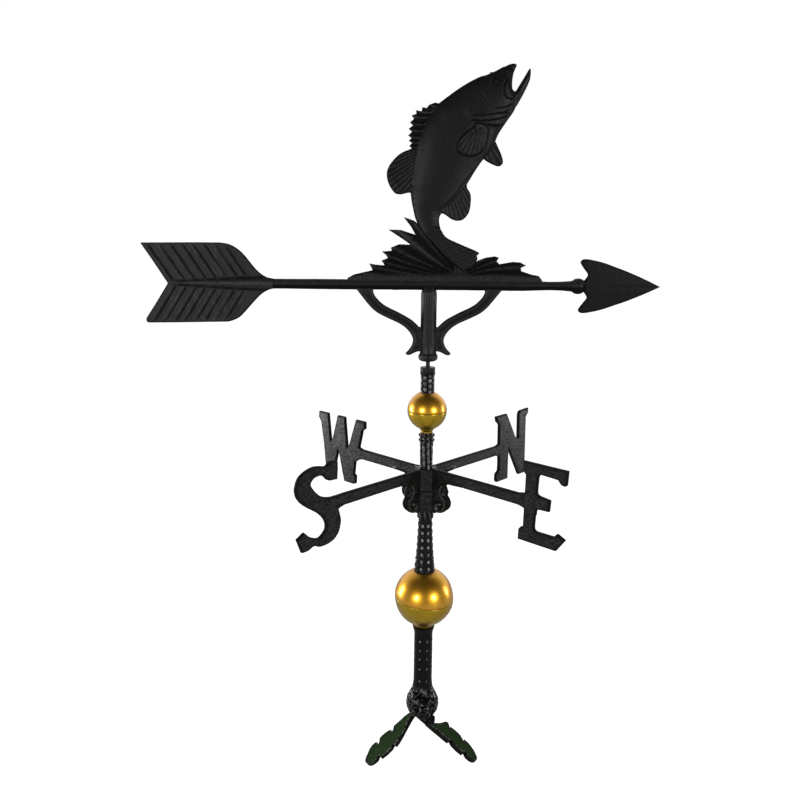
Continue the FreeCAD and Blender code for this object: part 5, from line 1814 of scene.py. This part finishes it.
@dataclass
class Compass:
    """The two direction castings and their letters.

    Letters are in shares: outwards from the near edge, and up from the foot.
    """

    turn: float = -44.0
    foot: float = 2.2
    height: float = 84.0
    letter_e: Line = (
        (.056, 1), (.993, 1), (.978, .826), (.948, .811), (.870, .818), (.800, .868),
        (.454, .879), (.405, .866), (.386, .830), (.372, .660), (.386, .628), (.437, .614),
        (.661, .599), (.646, .456), (.437, .449), (.385, .436), (.356, .393), (.343, .215),
        (.356, .180), (.407, .168), (.761, .170), (.835, .219), (1.006, .169), (.822, .006),
        (.002, .006), (.006, .135), (.054, .173), (.104, .176), (.120, .838), (.069, .869))
    letter_n: Line = (
        (.006, 1.03), (.324, 1.035), (.465, .842), (.623, .62), (.704, .608), (.690, .982),
        (.725, 1.03), (.993, 1.045), (.986, .965), (.923, .915), (.937, .524), (.951, .036),
        (.930, 0), (.765, 0), (.411, .486), (.415, 0), (.085, 0), (.056, .036), (.059, .130),
        (.134, .173), (.138, .305), (.124, .415), (.118, .638), (.110, .896), (.030, .951))
    letter_w: Line = (
        (.006, 1), (.188, 1), (.331, .599), (.376, .536), (.425, 1), (.576, 1), (.690, .626),
        (.738, .571), (.786, 1), (.989, 1), (.998, .914), (.949, .845), (.891, .507),
        (.841, .060), (.8125, 0), (.693, 0), (.641, .224), (.574, .461), (.551, .421),
        (.486, .146), (.442, 0), (.245, 0), (.208, .018), (.200, .137), (.236, .161),
        (.206, .387), (.153, .417), (.124, .598), (.059, .855), (.001, .898))
    letter_s: Line = (
        (.340, .964), (.462, .982), (.611, .992), (.775, .966), (.922, .905), (.987, .813),
        (.993, .735), (.947, .653), (.833, .568), (.687, .495), (.524, .419), (.404, .333),
        (.351, .253), (.360, .195), (.407, .152), (.487, .116), (.573, .119), (.715, .168),
        (.824, .238), (.824, .238), (.987, .180), (.987, .180), (.885, .002), (.885, .002),
        (.745, .004), (.627, .036),
        (.505, .002), (.333, 0), (.173, .034), (.058, .112), (.007, .238), (.036, .341),
        (.075, .430), (.102, .530), (.200, .566), (.330, .584), (.471, .626), (.576, .691),
        (.658, .764),
        (.669, .812), (.600, .858), (.491, .871), (.435, .865), (.375, .840), (.313, .795),
        (.251, .778), (.251, .778), (.085, .772), (.085, .772), (.070, .893), (.072, .985),
        (.072, .985), (.155, 1.010), (.255, 1.002))

    def letter(self, shares: Line, start: float, width: float) -> list[Spot]:
        """A letter in millimetres, from the axis outwards."""
        return [(start + u * width, self.foot + v * self.height) for u, v in shares]

    @staticmethod
    def arm(start: float, flare: float = 1.0, lift: float = 0.0) -> list[Spot]:
        """Arm from the hub to a letter, with a slight flare below and above it.

        Args:
            start: where the letter starts.
            flare: how strong the upper flare is.
            lift: how far the arm lies above the hub's middle line.

        Returns:
            The arm's outline.
        """
        spots = [(0, 38), (start - 8, 37.8), (start - 2, 36.6), (start + 6, 32), (start + 14, 32),
                 (start + 14, 50 + 6 * flare), (start + 6, 50 + 6 * flare),
                 (start - 2, 50 + 1.6 * flare), (start - 8, 50.2), (0, 50)]
        return [(u, v + lift) for u, v in spots]

    def build(self) -> None:
        """Builds both castings."""
        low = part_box("lower_column")[1].z / MM
        round_s = curve(self.letter_s, 3, closed=True)
        Directional("letters_east_west", "directional_east_west", self.turn, low, (0, 180), True,
                    [self.letter(self.letter_e, 128.0, 54.0), self.arm(134.0, lift=1.2)],
                    [self.letter(self.letter_w, 99.5, 88.0), self.arm(112.0)]).build()
        Directional("letters_north_south", "directional_north_south", self.turn + 90, low,
                    (90, -90), False, [self.letter(self.letter_n, 128.0, 71.0), self.arm(138.0)],
                    [self.letter(round_s, 129.0, 57.0), self.arm(132.0, 0.0)]).build()


# Foot of the mast


@dataclass
class Foot:
    """Base column, ball knuckle and the two leaf legs.

    The leaf's outline is along the slope from the pivot, and away from the cheek.
    """

    ball_radius: float = 19.8
    web_half: float = 9.0
    cheek_inner: float = 9.3
    cheek_radius: float = 16.9
    pivot_z: float = 13.786
    ball_z: float = 19.786
    pitch: float = 43.5
    seat: float = 16.7
    seat_radius: float = 5.8
    drop: float = 10.0
    nubs: Sequence[float] = (52.82, 68.82, 81.82, 92.82, 104.82)
    leaf: Line = (
        (14, -9.8), (20, -8.8), (26, -4.5), (31, 1), (36, 6.5), (41, 12.5), (46, 17.3),
        (51, 20.4), (52.6, 17), (54.8, 15.4), (57.4, 19.2), (66, 20.9), (74.5, 20.4),
        (76.6, 16.4), (79, 13.5), (82, 18.6), (88, 18.4), (93, 16.6), (97.5, 12.4), (100.4, 7),
        (101.4, 3.7), (100.6, -.5), (98, -5.2), (93, -9.4), (88, -11.2), (82, -11.2), (79, -6.2),
        (76.6, -9), (74.5, -13), (66, -13.5), (57.4, -11.8), (54.8, -8), (52.6, -9.6),
        (50.6, -13.2), (44, -13.5), (35, -13.8), (27, -14.2), (14, -14.2))

    def foliage(self, spots: Points, seed: int) -> Surface:
        """Curled leaf relief on the ball, with painted glints where its ridges cross and painted
        shade in its hollows.

        Args:
            spots: rows of x, y, z.
            seed: which relief to give.

        Returns:
            Change of radius, rubbing and painted highlight, and painted shade.
        """
        warp = np.column_stack([value_noise(spots, 6.0, seed + k) for k in (1, 2, 3)])
        bent = spots + 2.0 * warp
        first = 1 - np.abs(value_noise(bent * [1, 1, 1.2], 3.0, seed + 4)) * 2.6
        second = 1 - np.abs(value_noise(bent, 1.8, seed + 5)) * 2.4
        change = 0.9 * np.clip(first, -0.7, 1) + 0.55 * np.clip(second, -0.6, 1) - 1.05
        wear_and_highlight = np.clip(1.8 * np.clip(first, 0, 1) ** 1.4 * np.clip(second, 0, 1) ** 1.3, 0, 1)
        return change, wear_and_highlight, np.clip(-1.5 * change, 0, 1)

    def slice_of_ball(self, low: float, high: float, rim: float, seed: int) -> MeshPad:
        """A slice of the ball between two upright planes.

        Args:
            low: the front plane.
            high: the rear plane.
            rim: the largest radius from the ball's centre line.
            seed: which relief it has.

        Returns:
            The slice on a pad.
        """
        heights = np.linspace(low, high, 60)
        radii = np.sqrt(np.maximum(self.ball_radius ** 2 - heights ** 2, 0.01))
        profile = [(0.3, low)] if abs(low) < self.ball_radius - 0.5 else []
        last: Optional[Spot] = None
        for radius, height in zip(radii, heights):
            spot = (max(min(radius, rim), 0.3), float(height))
            if last is None or abs(spot[0] - last[0]) + abs(spot[1] - last[1]) > 0.2:
                profile.append(spot)
                last = spot
        if abs(high) < self.ball_radius - 0.5:
            profile.append((0.3, high))
        points, faces, _, _ = turned(profile, 150, None, 0.6, "y", (0, 0, self.ball_z))
        centre = np.array((0, 0, self.ball_z))
        away = points - centre
        reach = np.linalg.norm(away, axis=1)
        change, wear_and_highlight, deep = self.foliage(points, seed)
        curved = ease(reach, self.ball_radius - 3.0, self.ball_radius - 1.0)
        change = change * curved
        points = centre + away * (1 + change / np.maximum(reach, 1))[:, None]
        points[:, 1] = np.clip(points[:, 1], low, high)
        from_bolt = np.hypot(points[:, 0], points[:, 2] - self.pivot_z)
        near = (from_bolt < self.seat_radius) & (np.abs(points[:, 1]) > self.seat)
        points[near, 1] = np.sign(points[near, 1]) * self.seat
        pad = MeshPad()
        pad.add(points, faces, wear_and_highlight * curved, deep * curved)
        return pad

    def build_base(self) -> None:
        """Base column with its nubs, rim and the middle slice of the ball."""
        top = Mast.span(Column.BASE)[1]
        pad = self.slice_of_ball(-self.web_half, self.web_half, self.ball_radius, 91)
        foot = self.ball_z + 9.0
        profile = curve([(17.4, foot), (15.2, foot + 5), (12.7, foot + 10.5),
                         (11.4, foot + 18), (11.0, foot + 30), (10.9, top - 8)], 5)
        profile = [(5.0, foot)] + profile + [(11.2, top - 4.6), (12.1, top - 1.6),
                                             (12.9, top + 1.4), (13.0, top + 3.0),
                                             (11.1, top + 3.0), (11.1, top - 0.1), (5.0, top - 0.1)]
        skin = Mast.knobs(self.nubs, (1.3, 1.6), 0.8, 93)

        def trimmed(turn: Points, height: Points, radius: Points) -> Surface:
            """Nubs on the tube alone, foliage on the flare.

            Args:
                turn: angles round the axis.
                height: places along the axis.
                radius: distances from the axis.

            Returns:
                Change of radius, rubbing and painted highlight, and painted shade.
            """
            change, wear_and_highlight, _ = skin(turn, height, radius)
            spots = around(turn, height, radius)
            low = ease(foot + 17 - height, 0, 9) * (radius > 6.4)
            extra = self.foliage(spots, 91)
            fade = ease(top - 7 - height, 0, 2) * (radius > 7)
            change = change * fade + 0.6 * extra[0] * low
            # Painted shade over the tube's outer wall, except on the nub tops, which take painted
            # highlight.
            wall_shade = (radius > 7) * (0.62 - 0.62 * wear_and_highlight * fade)
            return change, np.maximum(0.4 * wear_and_highlight * fade, extra[1] * low), np.maximum(
                wall_shade * (1 - low), extra[2] * low)

        points, faces, wear_and_highlight, deep = turned(profile, 132, trimmed, 0.7)
        limit = np.where(points[:, 2] < self.ball_z + 20.5, self.web_half, 40.0)
        points[:, 1] = np.clip(points[:, 1], -limit, limit)
        pad.add(points, faces, wear_and_highlight, deep)
        pad.piece("base_body", BLACK_BALL, "mast", "cast_black", [Column.BASE.value], 50)

    @staticmethod
    def leaf_top(flat: Points) -> Points:
        """How far a leaf's upper face lies above the plane 1.3 over its underside.

        Args:
            flat: points of the face.

        Returns:
            Heights.
        """
        along, aside = flat[:, 0], flat[:, 1]
        curl = 2.2 * ease(-aside, 4, 13) * ease(along, 24, 36)
        curl = curl + 2.4 * ease(aside, 9, 19) * bell(along - 46, 9)
        return 4.4 - 1.8 * ease(along, 27, 38) + curl

    def shape_leaf(self, flat: Points, edge: Points) -> Surface:
        """Upper face of a leaf: midrib, side veins and a sunk field inside the rim.

        Args:
            flat: points of the face.
            edge: how far in they lie.

        Returns:
            Height, rubbing and painted highlight, and painted shade.
        """
        along = flat[:, 0]
        away = np.abs(flat[:, 1] - 3.7)
        high = self.leaf_top(flat) - 0.9 * ease(edge, 0.8, 3.0)
        rib = bell(away, 1.6) * ease(104 - along, 0, 20)
        slant = along - 0.75 * away
        near = np.abs((slant - 26) / 9.0 - np.round((slant - 26) / 9.0)) * 9.0
        veins = bell(near, 0.8) * ease(edge, 1.5, 4.0)
        high = high + 0.8 * rib + 0.35 * veins + 0.1 * flat_noise(flat, 3.0, 97)
        # Painted highlight on the midrib and veins; painted shade in the sunk field along the rim.
        return high, 0.5 * veins + 0.6 * rib, 0.4 * ease(3.5 - edge, 0, 3)

    @staticmethod
    def shape_sole(flat: Points, edge: Points) -> Surface:
        """Underside of a leaf, which lies flat on the roof."""
        zero = np.zeros(len(flat))
        return zero + crown(edge, 0.9, 1.3, 0.8), zero, zero

    def leg(self, node: str, side: int) -> None:
        """Builds one leg.

        Args:
            node: the CAD node and body.
            side: 1 for the leg on the right, -1 for the one on the left.
        """
        slope = math.radians(self.pitch)
        along = (side * math.cos(slope), 0.0, -math.sin(slope))
        normal = np.array((side * math.sin(slope), 0.0, math.cos(slope)))
        pivot = np.array((0.0, 0.0, self.pivot_z))
        up = tuple(np.cross(normal, np.array(along)))
        plane = Plane(along, up, tuple(pivot - normal * (self.drop - 1.3)))
        outline = list(self.leaf)[::-1]
        face = MeshPad()
        Relief([outline], 1.4, (0.4, 1.0, 1.8)).onto(face, plane, self.shape_leaf, self.shape_sole)
        face.piece(node + "_leaf", LEAF_GREEN, node, "leaf_green", [], 40)
        near, far = self.cheek_inner, self.ball_radius
        low, high = (-far, -near) if side > 0 else (near, far)
        pad = self.slice_of_ball(low, high, self.cheek_radius, 101 if side > 0 else 111)
        points = pad.points[0]
        under = (points - pivot) @ normal
        points += normal * np.maximum(-self.drop - under, 0)[:, None]
        web = Plane((1.0, 0.0, 0.0), (0.0, 0.0, 1.0), (0.0, -side * 11.75, 0.0))
        Relief([self.apron(side)], 1.1, (0.4, 1.0, 1.8)).onto(pad, web, self.shape_apron)
        self.edging(pad, plane, outline)
        pad.piece(node + "_cheek", LEAF_BLACK, node, "cast_black", [node], 46)

    def edging(self, pad: MeshPad, plane: Plane, outline: Line) -> None:
        """Black wall and rim round a leaf, which follows its lobes.

        Args:
            pad: what collects the rim.
            plane: where the leaf lies.
            outline: the leaf's outline.
        """
        rings = divided(outline, 0.9)
        after = np.roll(rings, -1, axis=0) - np.roll(rings, 1, axis=0)
        outward = -left_of(after)
        if np.cross(after[:-1], after[1:]).sum() < 0:
            outward = -outward
        top = self.leaf_top(rings)
        rough = flat_noise(rings, 1.6, 120)
        shape = ((0.2, 0.0, -1.28), (0.5, 0.0, -0.6), (0.5, 0.7, 0.0), (0.3, 1.0, 0.1),
                 (-0.5, 1.0, 0.4), (-1.3, 1.0, 0.1), (-1.7, 1.0, -0.9), (-1.7, 0.0, -1.28))
        blocks = []
        rim_highlight = []
        for aside, share, rise in shape:
            bumpy = 0.3 * rough * (share > 0.5)
            flat = rings + outward * (aside + bumpy * (aside > 0))[:, None]
            blocks.append(plane.place(flat, share * top + rise + bumpy))
            # Painted highlight along the top of the rim.
            rim_highlight.append(np.clip(0.2 + rough, 0, 1) * (1.0 if share == 1.0 else 0.0))
        pad.add(np.vstack(blocks), ring_faces(len(shape), len(rings)), np.concatenate(rim_highlight))

    def apron(self, side: int) -> list[Spot]:
        """Outline of the web from a cheek down to its leaf, seen from the front.

        Args:
            side: 1 for the right leg, -1 for the left one.

        Returns:
            The outline.
        """
        slope = math.radians(self.pitch)
        result = []
        for u, v in ((-8.5, -9.9), (27.4, -9.9), (26.4, -7.0), (24.4, -5), (16.3, 5), (0, 5)):
            x = side * (u * math.cos(slope) + v * math.sin(slope))
            result.append((x, self.pivot_z - u * math.sin(slope) + v * math.cos(slope)))
        return result if side > 0 else result[::-1]

    @staticmethod
    def shape_apron(flat: Points, edge: Points) -> Surface:
        """Rounded web with lumps like the ball's.

        Args:
            flat: points of the face.
            edge: how far in they lie.

        Returns:
            Height, rubbing and painted highlight, and painted shade.
        """
        lumps = flat_noise(flat, 3.0, 131) + 0.6 * flat_noise(flat, 1.8, 132)
        high = crown(edge, 1.5, 2.3, 2.0) + 0.55 * np.clip(lumps, -1, 1) * ease(edge, 0, 2)
        return np.minimum(high, 2.42), np.clip(lumps, 0, 1) ** 3, np.clip(-1.4 * lumps, 0, 1)

    def build(self) -> None:
        """Builds the foot."""
        self.build_base()
        self.leg("leg_right", 1)
        self.leg("leg_left", -1)


@dataclass
class Fittings:
    """Turned pins, screws and bushes, which keep their CAD shapes."""

    finishes: dict[str, Finish] = field(default_factory=lambda: {
        "pivot_pin": BLACK, "spindle_rod": STEEL, "thrust_ball": STEEL,
        "ornament_screws": STEEL, "hub_set_screws": STEEL_DARK, "pivot_bolt": BLACK_BALL,
        "pivot_washers": STEEL, "pivot_lock_washer": STEEL, "pivot_nut": STEEL,
        "lower_bush": BUSH, "upper_bush": BUSH})

    def build(self) -> None:
        """Gives each fitting its finish."""
        for name, finish in self.finishes.items():
            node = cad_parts[name]
            node.data.materials.clear()
            node.data.materials.append(finish.material())
            LOG.info("%s: finished", name)


# Studio


@dataclass
class Studio:
    """Floor, backdrop, lamps and camera."""

    floor_z: float = -0.0655
    lens: float = 31.84
    eye: tuple[float, float, float] = (-0.0303, -0.7705, 0.5516)
    pitch: float = 11.58
    roll: float = 0.50

    def camera(self) -> None:
        """Puts the camera where the photograph was taken from."""
        data = bpy.data.cameras.new("camera")
        data.lens = self.lens
        data.sensor_width = 36.0
        data.sensor_fit = "HORIZONTAL"
        data.clip_start = 0.01
        camera = bpy.data.objects.new("camera", data)
        camera.location = self.eye
        turn = Euler((math.radians(90 - self.pitch), 0, 0)).to_matrix()
        roll = Euler((0, 0, math.radians(self.roll))).to_matrix()
        camera.rotation_euler = (turn @ roll).to_euler()
        bpy.context.scene.collection.objects.link(camera)
        bpy.context.scene.camera = camera

    def floor(self) -> None:
        """Pale floor, white to the camera, that keeps the object's shadow."""
        mesh = bpy.data.meshes.new("floor")
        reach = 30.0
        corners = [(-reach, -reach, self.floor_z), (reach, -reach, self.floor_z),
                   (reach, reach, self.floor_z), (-reach, reach, self.floor_z)]
        mesh.from_pydata(corners, [], [(0, 1, 2, 3)])
        floor = bpy.data.objects.new("floor", mesh)
        bpy.context.scene.collection.objects.link(floor)
        material = bpy.data.materials.new("pale_floor")
        material.use_nodes = True
        net = Net(material.node_tree)
        shader = net.tree.nodes["Principled BSDF"].inputs
        shader["Base Color"].default_value = (0.50, 0.50, 0.49, 1)
        shader["Roughness"].default_value = 0.9
        shader["Specular IOR Level"].default_value = 0.1
        seen, mirrored_ray = net.rays()
        part = net.math("MULTIPLY_ADD", mirrored_ray, 0.12, net.math("MULTIPLY", seen, 0.92))
        net.link((1.0, 1.0, 1.0, 1.0), shader["Emission Color"])
        net.link(part, shader["Emission Strength"])
        mesh.materials.append(material)

    def world(self) -> None:
        """White all round to the camera; to the object, bright behind and dim in front."""
        world = bpy.data.worlds.new("studio")
        bpy.context.scene.world = world
        world.use_nodes = True
        net = Net(world.node_tree)
        background = net.tree.nodes["Background"].inputs
        split = net.node("SeparateXYZ")
        net.link(net.place("Generated"), split.inputs[0])
        behind = net.ramp(split.outputs["Y"], -0.12, 0.40)
        level = net.math("MULTIPLY_ADD", behind, 0.55, 0.22)
        above = net.ramp(split.outputs["Z"], 0.15, 0.75)
        level = net.math("MULTIPLY", level, net.math("MULTIPLY_ADD", above, -0.72, 1.0))
        seen, mirrored_ray = net.rays()
        backdrop = net.ramp(split.outputs["Y"], 0.25, 0.60)
        seen = net.math("MAXIMUM", seen, net.math("MULTIPLY", mirrored_ray, backdrop))
        background["Color"].default_value = (1.0, 1.0, 1.0, 1.0)
        rest = net.math("MULTIPLY", net.math("SUBTRACT", 1.0, seen), level)
        net.link(net.math("ADD", seen, rest), background["Strength"])

    def lamp(self, name: str, azimuth: float, distance: float, height: float,
             size: tuple[float, float], power: float) -> None:
        """Adds a soft box that faces the object.

        Args:
            name: the lamp's name.
            azimuth: degrees from the camera's side, to the right.
            distance: metres from the spindle.
            height: metres above the ridge.
            size: width and height in metres.
            power: watts.
        """
        data = bpy.data.lights.new(name, "AREA")
        data.shape = "RECTANGLE"
        data.size, data.size_y = size
        data.energy = power
        lamp = bpy.data.objects.new(name, data)
        angle = math.radians(azimuth)
        lamp.location = (distance * math.sin(angle), -distance * math.cos(angle), height)
        aim = Vector((0, 0, 0.30)) - lamp.location
        lamp.rotation_euler = aim.to_track_quat("-Z", "Y").to_euler()
        bpy.context.scene.collection.objects.link(lamp)

    def build(self) -> None:
        """Sets the studio up."""
        bpy.context.scene.view_settings.view_transform = "Standard"
        self.camera()
        self.floor()
        self.world()
        self.lamp("front_left", -31, 1.9, 0.69, (0.42, 0.46), 15.0)
        self.lamp("front_right", 39, 1.9, 0.69, (0.42, 0.46), 15.0)
        self.lamp("side_left", -106, 1.7, 0.34, (0.36, 0.7), 15.0)
        self.lamp("side_right", 104, 1.7, 0.34, (0.20, 0.6), 5.0)


def main() -> None:
    """Builds the weathervane's looks and the studio."""
    logging.basicConfig(level=logging.INFO, format="%(name)s: %(message)s")
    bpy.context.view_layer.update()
    Studio().build()
    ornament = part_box("bass_ornament")[0].z / MM
    BassOrnament(ornament + FOOT_RISE).build()
    low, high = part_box("arrow_casting")
    ArrowCasting(ornament - AXIS_DROP, low.z / MM, low.x / MM, high.x / MM).build()
    Mast().build()
    Globes().build()
    Compass().build()
    Foot().build()
    Fittings().build()
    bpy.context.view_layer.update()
    LOG.info("sizes written")


if __name__ == "__main__":
    main()
